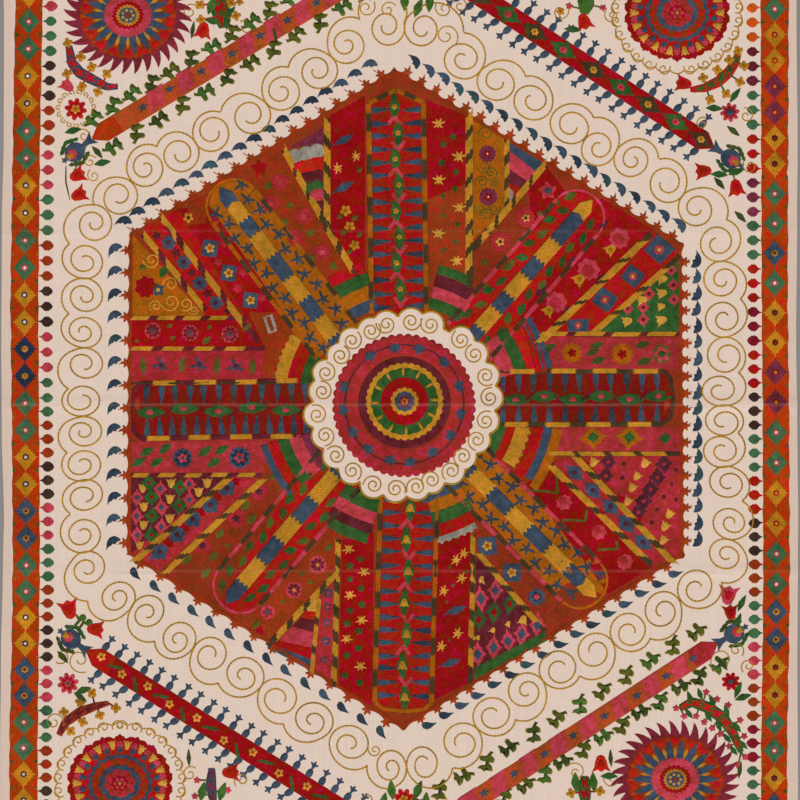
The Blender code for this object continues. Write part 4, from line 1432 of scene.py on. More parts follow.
# Shape, its size, turn and dye, then the shapes worked over it as (shape, size, dye), and its places
MOTIFS = (
    ("fan", 14, 150, "crimson", (), ((149, 289),)),
    ("dot", 7.5, 0, "teal", (("five", 2.6, "lemon"),), ((158, 290),)),
    ("leaf", (7, 5), 60, "green", (), ((164, 272),)),
    ("leaf", (5, 4), 20, "olive", (), ((143, 268),)),
    ("eight", 8.0, 10, "slate", (("round", 2.6, "plum"),), ((169, 243), (184, 262), (200, 283), (216, 303))),
    ("five", 5.2, 0, "maroon", (), ((157, 236), (176, 253), (192, 273), (208, 294), (228, 311))),
    ("tile", (8.6, 9.2), -6, "slate", (("five", 5.2, "lemon"), ("round", 2.2, "ochre")),
     ((210, 248), (229, 273), (251, 300.5))),
    ("five", 5.4, 20, "yellow", (("round", 1.9, "brown"),), ((188.7, 218),)),
    ("dot", 5.0, 20, "pink", (), ((224, 243), (243, 272), (262, 298), (218, 262), (238, 288))),
    ("many", 10.0, 0, "rose", (("eight", 7.4, "maroon"), ("eight", 5.0, "pink"), ("five", 3.0, "slate")),
     ((153, 331), (190, 333), (230, 334.5))),
    ("leaf", (6, 4), 35, "olive", (),
     ((170, 326), (173, 338), (210, 327), (207, 341), (247, 328), (137, 341))),
    ("sprig", (11, 9), 180, "slate", (("five", 3.0, "plum"),), ((161, 365), (199, 365), (236, 366))),
    ("leaf", (9, 4), 90, "olive", (), ((144, 366), (182, 365), (217, 366), (253, 367))),
    ("many", 9.5, 0, "pink", (("dot", 4.5, "rose"),),
     ((280, 182), (270, 203), (303, 216), (296, 238), (322, 252))),
    ("dot", 8.0, 0, "crimson", (), ((260, 168),)),
    ("tile", (6.0, 11.0), 22, "grey", (("tile", (2.2, 8.0), "brick"),), ((270, 324),)),
    ("dot", 4.5, 30, "olive", (), ((290, 205), (285, 222), (310, 233), (312, 258), (268, 186), (333, 266))),
    ("streak", (12.5, 7), 22, "slate", (), ((343.6, 140), (344, 187))),
    ("bird", 6.6, 80, "lemon", (), ((355.7, 156), (338, 168))),
    ("five", 6.0, 10, "yellow", (("round", 2.0, "ochre"),), ((345.7, 211), (350, 227), (355, 245.7))),
    ("leaf", (4, 3), 40, "olive", (),
     ((340, 217), (355, 218), (344, 233), (360, 235), (349, 252), (360, 170))),
    ("bird", 8.4, 0, "lemon", (),
     ((438.6, 124), (458.6, 157), (438.6, 180), (459, 208), (438.6, 234), (457, 261))),
    ("dot", 5.0, 0, "green", (), ((453, 137), (443, 145), (442, 163), (456, 172), (455, 189), (443, 196),
     (443, 216), (458, 225), (455, 242), (444, 250))),
    ("many", 9.4, 0, "purple", (("five", 4.4, "crimson"), ("round", 1.0, "cream")), ((487, 154), (488, 197))),
    ("dot", 9.8, 0, "rose", (("five", 7.2, "pink"), ("round", 3.6, "slate")), ((547.5, 191),)),
    ("many", 10.5, 0, "pink", (("five", 4.8, "lemon"), ("round", 1.8, "maroon")), ((500, 242), (525.8, 218))),
    ("dot", 4.0, 0, "olive", (), ((512, 262), (484, 262), (484, 285), (541, 214), (556, 202))),
    ("fan", 14.5, 50, "rose", (("fan", 8.0, "pink"),), ((617, 241), (586, 272.4), (554.7, 304.6))),
    ("tulip", 6.4, 225, "yellow", (("round", 2.2, "ochre"),), ((610.5, 249.5), (579.5, 279.5), (549, 310))),
    ("leaf", (9, 4), 45, "plum", (),
     ((603, 226), (634, 249), (572, 262), (601, 279), (541, 292), (567, 312))),
    ("tile", (13.0, 12.0), -40, "slate", (("eight", 5.6, "rose"), ("round", 2.0, "lemon")), ((659, 250),)),
    ("tile", (11.5, 10.5), -40, "slate", (("eight", 4.8, "rose"), ("round", 1.8, "lemon")),
     ((633, 276), (605, 300))),
    ("tile", (13.0, 7.5), 0, "slate", (("eight", 4.2, "rose"), ("round", 1.6, "lemon")), ((578, 325),)),
    ("tulip", 5.6, 190, "lemon", (),
     ((662, 279), (662, 293), (661, 306), (661, 320), (627, 321), (642, 300))),
    ("diamond", (6, 6.5), 0, "rose", (("round", 2.0, "maroon"),),
     ((649, 294), (643, 307), (643, 320), (628, 309), (671, 270), (673, 285), (674, 300))),
    ("many", 12.5, 0, "amber", (("eight", 9.0, "ochre"), ("five", 5.2, "crimson")), ((572, 353), (622, 354))),
    ("many", 11.0, 0, "olive", (("five", 8.0, "rose"), ("round", 3.4, "green")), ((662, 354),)),
    ("leaf", (9, 5), 20, "moss", (),
     ((597, 346), (598, 361), (592, 353), (642, 345), (644, 362), (549, 348))),
    ("diamond", (12.0, 10.5), 0, "amber", (("diamond", (5.6, 5.2), "green"),), ((593, 437.5), (629, 437.5))),
    ("diamond", (5.6, 5.2), 0, "green", (), ((665, 438),)),
    ("diamond", (7.4, 8.6), 0, "plum", (("round", 2.2, "old rose"),),
     ((608, 462), (606, 476), (664, 464), (657, 477), (650, 489), (643, 501), (638, 512))),
    ("diamond", (7.0, 8.4), 0, "old rose", (("round", 2.2, "maroon"),),
     ((624, 464), (622, 478), (676, 470), (671, 484), (664, 497), (657, 510), (652, 522), (676, 500))),
    ("tulip", 4.8, 60, "lemon", (),
     ((593.6, 462), (645, 463), (637, 476), (632, 488), (628, 501), (669, 514), (665, 526), (663, 540))),
    ("diamond", (11, 8.4), -44, "slate", (("round", 2.8, "plum"),),
     ((575, 473), (592.5, 490), (610, 507), (626, 524), (643, 542))),
    ("dot", 6.0, 0, "crimson", (),
     ((584, 465), (602, 483), (620, 500), (637, 519), (566, 479), (583, 497), (601, 514), (618, 531))),
    ("fan", 10.5, -50, "rose", (("dot", 5.0, "pink"),), ((562, 500), (597, 530), (623, 560))),
    ("streak", (13, 7.5), 22, "slate", (), ((455.7, 610), (450.7, 663))),
    ("bird", 7.2, 60, "lemon", (),
     ((456, 560), (461.4, 578), (444, 590.7), (458, 633), (441.4, 646), (464, 553))),
    ("dot", 2.4, 0, "olive", (), ((450, 567), (453, 585), (449, 640), (466, 572), (447, 602))),
    ("tile", (9.8, 9.6), 0, "slate", (("five", 5.2, "lemon"), ("round", 2.2, "ochre")),
     ((487, 546), (512, 572.5))),
    ("eight", 9.4, 0, "slate", (("five", 5.0, "navy"), ("round", 2.8, "rose")), ((537, 596.7),)),
    ("diamond", (7.6, 12.6), 0, "rose", (("diamond", (3.8, 5.6), "slate"),),
     ((480.7, 599), (495, 590), (478, 654), (493.6, 647), (508, 641), (522, 634), (537, 625))),
    ("diamond", (7.2, 11.6), 0, "green", (("diamond", (3.0, 4.2), "crimson"),),
     ((479, 619), (494, 612), (509, 604))),
    ("tulip", 5.2, 250, "lemon", (), ((481, 579), (478, 638), (493, 630), (508, 624), (523, 620))),
    ("bird", 7.0, 180, "lemon", (),
     ((348, 549), (364, 572), (350, 595), (361.4, 620), (347, 638.6), (360, 666.4))),
    ("dot", 4.4, 0, "green", (), ((360, 558.6), (350, 566), (350, 579), (361, 588), (362, 604), (350, 610),
     (347, 623), (359, 631), (358.6, 648), (346.7, 655), (345, 675), (360, 682.6))),
    ("dot", 6.0, 0, "slate", (("round", 2.0, "rose"),),
     ((327, 606), (327, 622), (326, 641), (324, 659), (328, 592))),
    ("many", 10.5, 0, "rose", (("eight", 6.8, "plum"), ("five", 4.4, "pink"), ("round", 1.6, "lemon")),
     ((318, 564.5), (294.5, 590))),
    ("many", 9.0, 0, "rose", (("five", 6.0, "pink"), ("round", 2.4, "teal")), ((267.5, 611.7),)),
    ("leaf", (6, 4), 40, "olive", (),
     ((256, 624), (283, 602), (302, 574), (310, 582), (330, 578), (328, 548))),
    ("many", 11.0, 0, "slate", (("eight", 8.6, "navy"), ("five", 5.6, "rose"), ("round", 2.0, "slate")),
     ((182.5, 457.6), (240, 457.6))),
    ("leaf", (8, 4.5), 35, "green", (),
     ((147, 452), (157, 462), (205, 452), (214, 463), (222, 450), (165, 449), (139, 462))),
    ("diamond", (7.6, 8.6), 0, "green", (("round", 2.0, "crimson"),),
     ((149, 483), (151.4, 497), (152, 515.7), (151.4, 535), (180, 487), (179, 506))),
    ("diamond", (6.6, 8.4), 0, "rose", (("diamond", (2.8, 3.4), "slate"),),
     ((160, 489), (161.4, 507), (161, 527), (189, 484), (189.3, 500), (137, 497), (137, 516), (137, 535))),
    ("tulip", 4.8, 90, "lemon", (), ((143, 488), (143.6, 506.4), (143.6, 525), (140, 545), (171, 483),
     (170, 499), (170, 518), (199, 492), (207, 483))),
    ("diamond", (12, 8.8), 43, "slate", (("round", 2.8, "plum"),),
     ((160, 552), (177, 535), (193, 519), (210, 505), (227, 488))),
    ("dot", 6.0, 0, "crimson", (), ((169, 543), (185, 527), (202, 512), (218, 497), (236, 482))),
    ("many", 10.5, 0, "pink", (("dot", 4.4, "plum"),), ((259, 492), (236, 519), (203, 546))),
    ("leaf", (7, 4.5), 50, "olive", (),
     ((246, 506), (220, 534), (187, 560), (252, 519), (214, 556), (206, 574))),
    ("dot", 3.4, 0, "olive", (), ((272, 477), (228, 545), (240, 500))),
)
# Scalloped rows of the fan at the upper left, from its rim inwards: dye, row, columns, and size of a scallop
FAN_ROWS = (("grey", 154, (295, 306, 317), 8.0), ("scarlet", 166, (300, 309, 318), 6.8),
            ("maroon", 178, (304, 312, 319), 5.8), ("green", 188, (308, 317), 5.6),
            ("rose", 197, (315, 319), 5.2))
# Thin curls of gold and olive silk over the strips: start, middle, way, dye
FIELD_CURLS = (
    ((143, 260), (152, 260), 1, "lemon"), ((163, 285), (171, 284), -1, "lemon"),
    ((161, 304), (171, 302), 1, "lemon"), ((151, 311), (156, 306), -1, "lemon"),
    ((180, 309), (186, 304), 1, "lemon"), ((189, 312), (194, 310), 1, "lemon"),
    ((478, 134), (486, 134), -1, "olive"), ((478, 170), (484, 167), 1, "olive"),
    ((496, 177), (491, 173), 1, "olive"), ((476, 186), (482, 182), -1, "olive"),
    ((499, 181), (494, 183), 1, "olive"), ((475, 205), (480, 209), 1, "olive"),
    ((480, 218), (487, 215), -1, "olive"), ((499, 206), (494, 210), -1, "olive"),
)
# Green stems beside the pink flowers of the lower right
FIELD_STEMS = (((530, 490), (545, 491), (558, 493), (556, 475)),
               ((562, 520), (574, 520), (585, 521), (587, 509)),
               ((597, 550), (608, 549), (618, 549), (616, 540)))


def motif(work, shape, size, turn, dye, hearts, at):
    """One motif, a little uneven in place, size and turn, with its hearts one above the other."""
    near = np.array(at) + dye_lots.uniform(-0.4, 0.4, 2)
    grow = dye_lots.uniform(0.94, 1.06)
    facing = turn + dye_lots.uniform(-7, 7)
    pad(work, near, SHAPES[shape], np.asarray(size) * grow, facing, dye, layer=MOTIF_LAYER, grain=0)
    for number, (heart, reach, colour) in enumerate(hearts, 1):
        pad(work, near, SHAPES[heart], np.asarray(reach) * grow, facing, colour, layer=MOTIF_LAYER + number)


def make_motifs():
    """Work every motif of the table, the fan's scallops and the thin curls."""
    work = new_work()
    for shape, size, turn, dye, hearts, places in MOTIFS:
        for at in places:
            motif(work, shape, size, turn, dye, hearts, at)
    for number, (dye, row, columns, size) in enumerate(FAN_ROWS):
        for column in columns:
            pad(work, (column, row - 0.25 * (column - 306)), round_outline(14), size, 0, dye,
                layer=2 + 0.35 * number)
    for start, middle, hand, dye in FIELD_CURLS:
        small_curl(work, start, middle, hand, dye, turns=1.5, width=0.6, layer=MOTIF_LAYER)
    for stem in FIELD_STEMS:
        line(work, spot(*even_path(stem, 2.5).T), 1.5, "olive", layer=MOTIF_LAYER)
    finish_work("field_motifs", work)


make_motifs()

# Medallion: a lobed disc of bare cotton with a gold line and small scrolls, and a solid rosette inside it.
# The rosette is couched in rings of red, maroon, yellow and green round a small flower.
ROSE_FLOWERS = ((395, 348), (419, 349), (444, 362), (459, 386), (460.6, 414), (450.5, 435), (432.6, 452),
                (410, 462), (390, 460), (368, 448.6), (353, 432), (343.5, 410), (344, 387), (370, 356))
# Rings of the rosette: inner and outer reach, dye, scallops on the outer edge, their depth, layer, middle
ROSE_RINGS = (
    (34, 72.0, "pink", 52, 2.4, 0.0, DISC), (46, 59, "brick", 0, 0, 0.8, (404.4, 403)),
    (47.5, 58, "pink", 58, 1.6, 1.3, (404.4, 403)), (33, 46.0, "maroon", 0, 0, 1.6, (404.4, 402.5)),
    (27, 39.2, "yellow", 34, 1.8, 2.4, MEDALLION), (22, 34.0, "green", 24, 1.2, 3.2, MEDALLION),
    (13, 24.0, "crimson", 0, 0, 4.0, MEDALLION), (8.5, 14.4, "yellow", 14, 1.6, 4.8, MEDALLION),
    (3, 10.4, "slate", 10, 1.0, 5.6, MEDALLION), (1, 6.8, "purple", 8, 1.0, 6.2, MEDALLION),
)
# Scrolls that wind clockwise, by their number
CLOCKWISE = (0, 4, 7, 8, 9, 10, 11, 13, 15, 17, 18, 19, 20, 21, 22)


def ring(work, middle, inner, outer, dye, layer, points=260, step=0.006, squash=1.0):
    """Closed band round a middle, between two reaches that are numbers or one value for each point.

    step is about the width of its columns, in metres, and squash flattens the circle.
    """
    angle = np.linspace(0.0, 2.0 * math.pi, points, endpoint=False)
    sides = [spot(*circled(middle, reach, angle, squash)) for reach in (inner, outer)]
    wide = float(np.max(outer) - np.min(inner)) * SQUARE
    band(work, *sides, dye, layer, columns=max(2, round(wide / step)), edge=0.08, loop=True)


def make_medallion():
    """Work the gold line and scrolls on the bare disc, then the rosette's rings, flowers and ticks."""
    work = new_work()
    angle = np.linspace(0.0, 2.0 * math.pi, 420, endpoint=False)
    edge = disc_edge(angle) + 0.2
    line(work, spot(*circled(DISC, edge, angle)), 1.05, "gold", layer=1.5, rise=0.0007, loop=True)
    for number, (column, row) in enumerate(LOBES):
        away = np.array((column - DISC[0], row - DISC[1]))
        out = away / np.hypot(*away)
        hand = -1 if number in CLOCKWISE else 1
        start = np.array((column, row)) - hand * np.array((-out[1], out[0])) * 10.0 + out * 3.5
        small_curl(work, start, (column, row), hand, "gold", turns=1.7, width=0.72)
    finish_work("medallion_scrolls", work)
    work = new_work()
    even = np.linspace(0.0, 2.0 * math.pi, 260, endpoint=False)
    for inner, outer, dye, scallops, depth, layer, middle in ROSE_RINGS:
        reach = outer - depth * (1.0 - np.abs(np.sin(scallops * even / 2.0))) if scallops else outer
        ring(work, middle, inner, reach, dye, layer)
    line(work, spot(*circled((404.2, 404.5), 59.5, even)), 0.8, "plum", layer=1.6, loop=True)
    for at in ROSE_FLOWERS:
        pad(work, at, LEAF_DOT, (5.6, 7.2), bearing(np.subtract(at, DISC)), "slate", layer=2.4)
    for number in range(12):
        way = math.radians(number * 30.0 + 3.0)
        at = (MEDALLION[0] + 30.0 * math.cos(way), MEDALLION[1] - 30.0 * math.sin(way))
        pad(work, at, round_outline(8), (5.0, 1.4), math.degrees(way), "yellow", layer=3.8)
    pad(work, MEDALLION, flower(6, 0.42, 4), 4.2, 10, "yellow", layer=6.8)
    pad(work, MEDALLION, round_outline(8), 1.6, 0, "crimson", layer=7.4)
    finish_work("medallion_rosette", work)


make_medallion()

# Slanting outer bands: four solid bands that close the big diamond round the hexagon, beyond both its ends.
# Two carry green sprigs and two carry slate-blue fish-shaped buds along both edges.
OUTER_HALF = 10.1
FISH_COUNT = 24
FISH_SIZE = (5.2, 4.1)
FISH_TAIL_REACH = 8.4
FISH_BODY = polar(16, lambda angle: 0.95 - 0.10 * np.cos(angle) + 0.08 * np.cos(2 * angle))
FISH_TAIL = spiked(0.44, ((0, 0.56, 20), (68, 0.56, 20), (-68, 0.56, 20), (180, 0.5, 24)), 28)
# Sprigs along the bands: the first one's place, the step to the next, and their number
OAK_ROWS = (((92, 120), (19.8, -12.2), 16), ((113, 148), (22.9, -14.0), 13), ((697, 632), (-23.4, 14.4), 13),
            ((720, 663), (-19.5, 12.2), 16))
# Half length of a sprig, half width of its stem and reach of its lobes, for the pale edge and the green
# middle
OAK_EDGE = (9.8, 1.9, 6.4)
OAK_MIDDLE = (9.2, 1.2, 5.2)
BAND_TIP = np.array(((-16.0, -10.0), (2.0, -10.0), (14.5, -1.2), (14.5, 1.2), (2.0, 10.0), (-16.0, 10.0)))
ARROW = np.array(((-0.9, -1.0), (0.1, -0.42), (1.15, -0.26), (1.15, 0.26), (0.1, 0.42), (-0.9, 1.0),
                  (-0.5, 0.0)))
# Both ends of a band's middle line, its dye, what stands along it, and the dye of its tip
OUTER_BANDS = (
    ((105, 131.5), (400, -46), "terracotta", "oak", "orange"),
    ((701.4, 139.9), (405, -52), "crimson", "fish", "crimson"),
    ((99, 658), (401, 846), "crimson", "fish", "red"),
    ((704.8, 650.8), (404, 846), "terracotta", "oak", "pink"),
)
OUTER_STARS = ((143, 107.6), (169.6, 89.4), (201.5, 71.5), (232, 54), (260, 36), (287.4, 20.5), (316, 3),
               (345, -14), (692.7, 658.5), (665.8, 676), (636.6, 695.5), (604, 716), (573, 735.5),
               (544.5, 754), (513.8, 773.5), (483.7, 793), (455, 811))
OUTER_DIAMONDS = ((701, 139.5), (675.5, 122), (648, 104.6), (620.7, 87.4), (593.4, 70), (563, 50),
                  (534.7, 32), (507.8, 14.5), (479, -4), (450, -23))
OUTER_FLOWERS = ((101.6, 656.6), (122, 674), (148, 686), (169.6, 704), (197, 717.7), (224, 740), (253, 752),
                 (279, 773), (307, 786), (334, 806), (362, 818))
GRANATES = (((75, 152.4), (88.5, 141.5), "slate"), ((730.6, 159), (717, 149.5), "slate"),
            ((71, 639), (83.5, 648.5), "slate"), ((734, 633.5), (720.5, 641.5), "slate"))


def heading(degrees):
    """Direction on the chart of a bearing."""
    return np.array((math.cos(math.radians(degrees)), -math.sin(math.radians(degrees))))


def fish(work, at, way):
    """A bud shaped like a fish: a round body, a thin neck and a tail of three points, out from the band."""
    pad(work, at, FISH_BODY, FISH_SIZE, way, "steel")
    pad(work, at + heading(way) * FISH_TAIL_REACH, FISH_TAIL, 5.0, way, "steel", layer=0.3)


def oak_sprig(work, at, turn, size, dye, layer):
    """Sprig like an oak's: two round lobes, leaning forwards, on each side of a thin bent stem."""
    lobe = np.array(((-0.22, 0.0), (-0.24, 0.75), (-0.06, 1.0), (0.20, 0.9), (0.20, 0.0)))
    sides = []
    for side, middles in ((1.0, (-0.55, 0.28)), (-1.0, (-0.12, 0.74))):
        x = np.concatenate(([-1.1], np.add.outer(middles, lobe[:, 0]).ravel(), [1.05]))
        out = np.concatenate(([0.0], np.outer((1.0, 0.85), lobe[:, 1]).ravel(), [0.0]))
        stem = 0.24 * np.sin(2.6 * x) * size[0]
        places = np.stack((size[0] * x + 0.35 * size[2] * out, stem + side * (size[1] + size[2] * out)), -1)
        sides.append(np.array(at) + turned(places, turn) * (1.0, -1.0))
    band(work, *[spot(*side.T) for side in sides], dye, layer, columns=1, edge=0.22)


def granate(work, middle, calyx, dye):
    """A pomegranate: a round fruit with a pink cheek, a small crown, a blue calyx and toothed leaves."""
    lean = bearing(middle - calyx)
    facing = heading(lean)
    pad(work, calyx, ARROW, (8.0, 7.4), lean, "slate", layer=0.5)
    for off in (58, 112, -58, -112):
        at = middle + 12.5 * heading(lean + off)
        leaf = profile_outline((0.15, 0.75, 0.55, 1.0, 0.7, 0.85, 0.2), 0.5)
        pad(work, at, leaf, (7.6, 3.6), lean + off + 90, "moss" if off > 0 else "green", layer=0.3)
    pad(work, middle, round_outline(18), (10.6, 9.6), lean, dye, layer=0.8)
    pad(work, middle + facing * 3.4, flower(6, 0.2, 4), 5.6, lean, "rose", layer=1.8)
    pad(work, middle + facing * 6.2, TULIP, 3.6, lean, "yellow", layer=2.6)
    pad(work, middle + facing * 13.0, star(5, 0.5), 4.0, lean, "slate", layer=0.5)


def make_outer_bands():
    """Work the four bands, their hearts, and the sprigs or buds along both of their edges."""
    work = new_work()
    side_work = new_work()
    for corner, end, dye, edge, tip in OUTER_BANDS:
        start, way, across, reach, turn = arm_frame(corner, end)
        steps = np.linspace(0.0, reach, round(reach / 2.9))
        path = start + steps[:, None] * way
        line(work, spot(*path.T), OUTER_HALF, dye, columns=4, edge=0.06)
        pad(work, start, BAND_TIP, 1.0, turn + 180, tip, layer=0.6)
        if edge == "oak":
            for first, second in zip(OUTER_STARS, OUTER_STARS[1:]):
                near = (np.array(first) + second) / 2
                if math.dist(first, second) < 60 and (near[1] < 300) == (corner[1] < 300):
                    dash(work, near, 17, 19.4, turn, "rose", 1, slant=0.35, teeth=2, tooth=1.7)
            continue
        for side in (-1, 1):
            for step in range(FISH_COUNT):
                place = (reach - 4.0) * (step + 0.25 + 0.25 * side) / (FISH_COUNT - 0.5)
                at = start + way * place + across * side * (OUTER_HALF + 3.9)
                leaning = 54 if bearing(across * side) > 0 else 216
                fish(side_work, at, leaning + dye_lots.uniform(-7, 7))
    for first, step, count in OAK_ROWS:
        lean = 32.0 if step[0] > 0 else 212.0
        for number in range(count):
            at = np.array(first) + number * np.array(step) + dye_lots.uniform(-1.2, 1.2, 2)
            turn = lean + (28 if number % 2 else -12) + dye_lots.uniform(-14, 14)
            dye = ("moss", "olive", "fern", "olive")[int(dye_lots.integers(0, 4))]
            oak_sprig(side_work, at, turn, OAK_EDGE, "gold green", 0)
            oak_sprig(side_work, at, turn, OAK_MIDDLE, dye, 0.8)
    for at in OUTER_STARS:
        turn = 30 if at[1] < 300 else 32
        pad(work, at, spiked(0.46, ((0, 0.6, 14), (70, 0.4, 14), (140, 0.4, 14), (-70, 0.4, 14),
                                    (-140, 0.4, 14)), 30), (6.2, 4.8), turn, "slate", layer=3)
    for number, at in enumerate(OUTER_DIAMONDS):
        dye, heart, dot = ("green", "rose", "scarlet") if number % 2 else ("umber", "lemon", "ochre")
        pad(work, at, DIAMOND, (13.5, 8.2), -33, dye, layer=1)
        pad(work, at, flower(6, 0.3, 4), (4.4, 3.8), -33, heart, layer=2)
        pad(work, at, round_outline(8), 1.6, 0, dot, layer=3)
    for number, at in enumerate(OUTER_FLOWERS):
        pad(work, at, flower(5, 0.4, 6), 4.8, number * 31, "lemon", layer=2)
        pad(work, at, round_outline(8), 1.7, 0, "scarlet", layer=3)
        leaf = np.array(at) + (13.0, 10.0)
        pad(work, leaf, profile_outline((0.1, 0.8, 0.5, 1.0, 0.6, 0.9, 0.2)), (8.5, 2.0),
            -80 if number % 2 else -12, "green", layer=1)
    for middle, calyx, dye in GRANATES:
        granate(work, np.array(middle), calyx, dye)
    finish_work("outer_bands", work)
    finish_work("outer_band_sprigs", side_work)


make_outer_bands()

# Corner rosettes: one in each corner, two alike across from each other. One kind has flame-like petals in a
# whirl, and the other is a dark red scalloped wheel inside a ring of small gold scrolls.
ROSETTE_SQUASH = 0.9
WHIRLS = ((128.0, 15.5), (675.0, 779.0))
WHEELS = ((677.0, 13.0), (120.0, 783.0))
PETAL = profile_outline((0.1, 0.62, 0.92, 1.0, 0.86, 0.55, 0.12))
DAGGER = profile_outline((0.7, 0.95, 1.0, 0.85, 0.62, 0.36, 0.06))
CLAW = np.array(((-1.0, -0.85), (-0.3, -0.62), (0.35, -0.12), (0.8, 0.40), (1.08, 1.0), (0.45, 0.78),
                 (-0.2, 0.70), (-1.0, 0.85)))


def wheel_ring(work, middle, inner, outer, dye, layer, points=182):
    """Closed band round a rosette's middle, a little flatter than round."""
    ring(work, middle, inner, outer, dye, layer, points, step=0.012, squash=ROSETTE_SQUASH)


def around(work, middle, count, reach, outline, size, dye, layer, first=0.0):
    """Patches at even angles round a middle, each turned outwards."""
    for number in range(count):
        way = math.radians(first + 360.0 * number / count)
        at = (middle[0] + reach * math.cos(way), middle[1] - ROSETTE_SQUASH * reach * math.sin(way))
        pad(work, at, outline, size, math.degrees(way), dye, layer=layer)


def make_whirl(work, middle, hand):
    """Whirl: flame-edged disc, patched middle ring, pointed slate petals, and small rings at the heart."""
    angle = np.linspace(0.0, 2.0 * math.pi, 248, endpoint=False)
    wheel_ring(work, middle, 34, 50.5, "wine", 0, points=248)
    around(work, middle, 32, 55.0, CLAW, (8.8, 6.4 * hand), "wine", 0.4)
    wheel_ring(work, middle, 20, 48 + 1.0 * np.sin(28 * angle), "rust", 1, points=248)
    around(work, middle, 18, 42.5, TILE, (3.6, 4.6), "scarlet", 2, first=10)
    around(work, middle, 18, 44, PETAL, (4.5, 2.4), "orange", 2.2)
    around(work, middle, 18, 28, PETAL, (7.5, 2.2), "honey", 2.4, first=10)
    around(work, middle, 18, 31.0, DAGGER, (13.5, 4.3), "slate", 2.8)
    for inner, outer, dye, layer in ((1, 24, "rose", 3.6), (1, 15.5, "crimson", 4.4),
                                     (1, 11.5, "yellow", 5.2),
                                     (1, 9.0, "slate", 5.8)):
        wave = outer + (0.8 * np.sin(20 * angle) if outer < 20 else 0.6 * np.sin(30 * angle))
        wheel_ring(work, middle, inner, wave, dye, layer, points=248)
    around(work, middle, 7, 5.4, round_outline(8), 1.7, "lemon", 6.6)
    pad(work, middle, round_outline(8), 1.9, 0, "scarlet", layer=6.8)


def make_wheel(work, middle):
    """Wheel: dark red scallops, a pink ring of yellow tulips, then blue, rust and blue round a pink heart."""
    angle = np.linspace(0.0, 2.0 * math.pi, 182, endpoint=False)
    edge = 53.0 - 3.2 * (1.0 - np.abs(np.sin(13 * angle)))
    wheel_ring(work, middle, 38, edge, "crimson", 0)
    wheel_ring(work, middle, 26, 40, "red", 1)
    around(work, middle, 18, 43.5, FAN, (9.4, 7.2), "crimson", 1.6, first=10)
    around(work, middle, 18, 41.5, FAN, (6.0, 4.8), "rose", 2.0, first=10)
    around(work, middle, 18, 39.0, DAGGER, (4.6, 2.8), "slate", 2.4, first=10)
    around(work, middle, 18, 43.0, TULIP, (4.8, 4.0), "lemon", 2.6)
    for inner, outer, dye, layer, wave in ((20, 32, "slate", 2.4, 20), (1, 28.5, "rust", 3.2, 20),
                                           (1, 20.5, "slate", 4.6, 16), (1, 15.5, "pink", 5.4, 8),
                                           (1, 8.5, "crimson", 6.2, 8)):
        wheel_ring(work, middle, inner, outer + 0.9 * np.sin(wave * angle), dye, layer)
    around(work, middle, 12, 24.5, TILE, (2.4, 3.0), "scarlet", 4.2)
    around(work, middle, 8, 12.0, round_outline(8), 1.8, "brick", 6.2)
    around(work, middle, 6, 4.8, round_outline(8), 2.0, "rose", 7)
    pad(work, middle, round_outline(8), 1.7, 0, "lemon", layer=7.4)
    for number in range(26):
        way = math.radians(360.0 * number / 26)
        hand = 1 if math.cos(way) > 0 else -1
        start = (middle[0] + 58.0 * math.cos(way), middle[1] - 54.0 * math.sin(way))
        nearby = way + hand * 0.10
        curl = (middle[0] + 61.5 * math.cos(nearby), middle[1] - 57.5 * math.sin(nearby))
        small_curl(work, start, curl, hand, "gold", turns=1.15, width=0.6)
    rim = 65.5 - 3.4 * (1.0 - np.abs(np.sin(13 * angle)))
    line(work, spot(*circled(middle, rim, angle, 0.93)), 0.62, "gold", rise=0.0006, loop=True)


def make_corner_rosettes():
    """Work both whirls and both wheels."""
    work = new_work()
    for middle, hand in zip(WHIRLS, (-1, 1)):
        make_whirl(work, middle, hand)
    finish_work("corner_whirls", work)
    work = new_work()
    for middle in WHEELS:
        make_wheel(work, middle)
    finish_work("corner_wheels", work)


make_corner_rosettes()

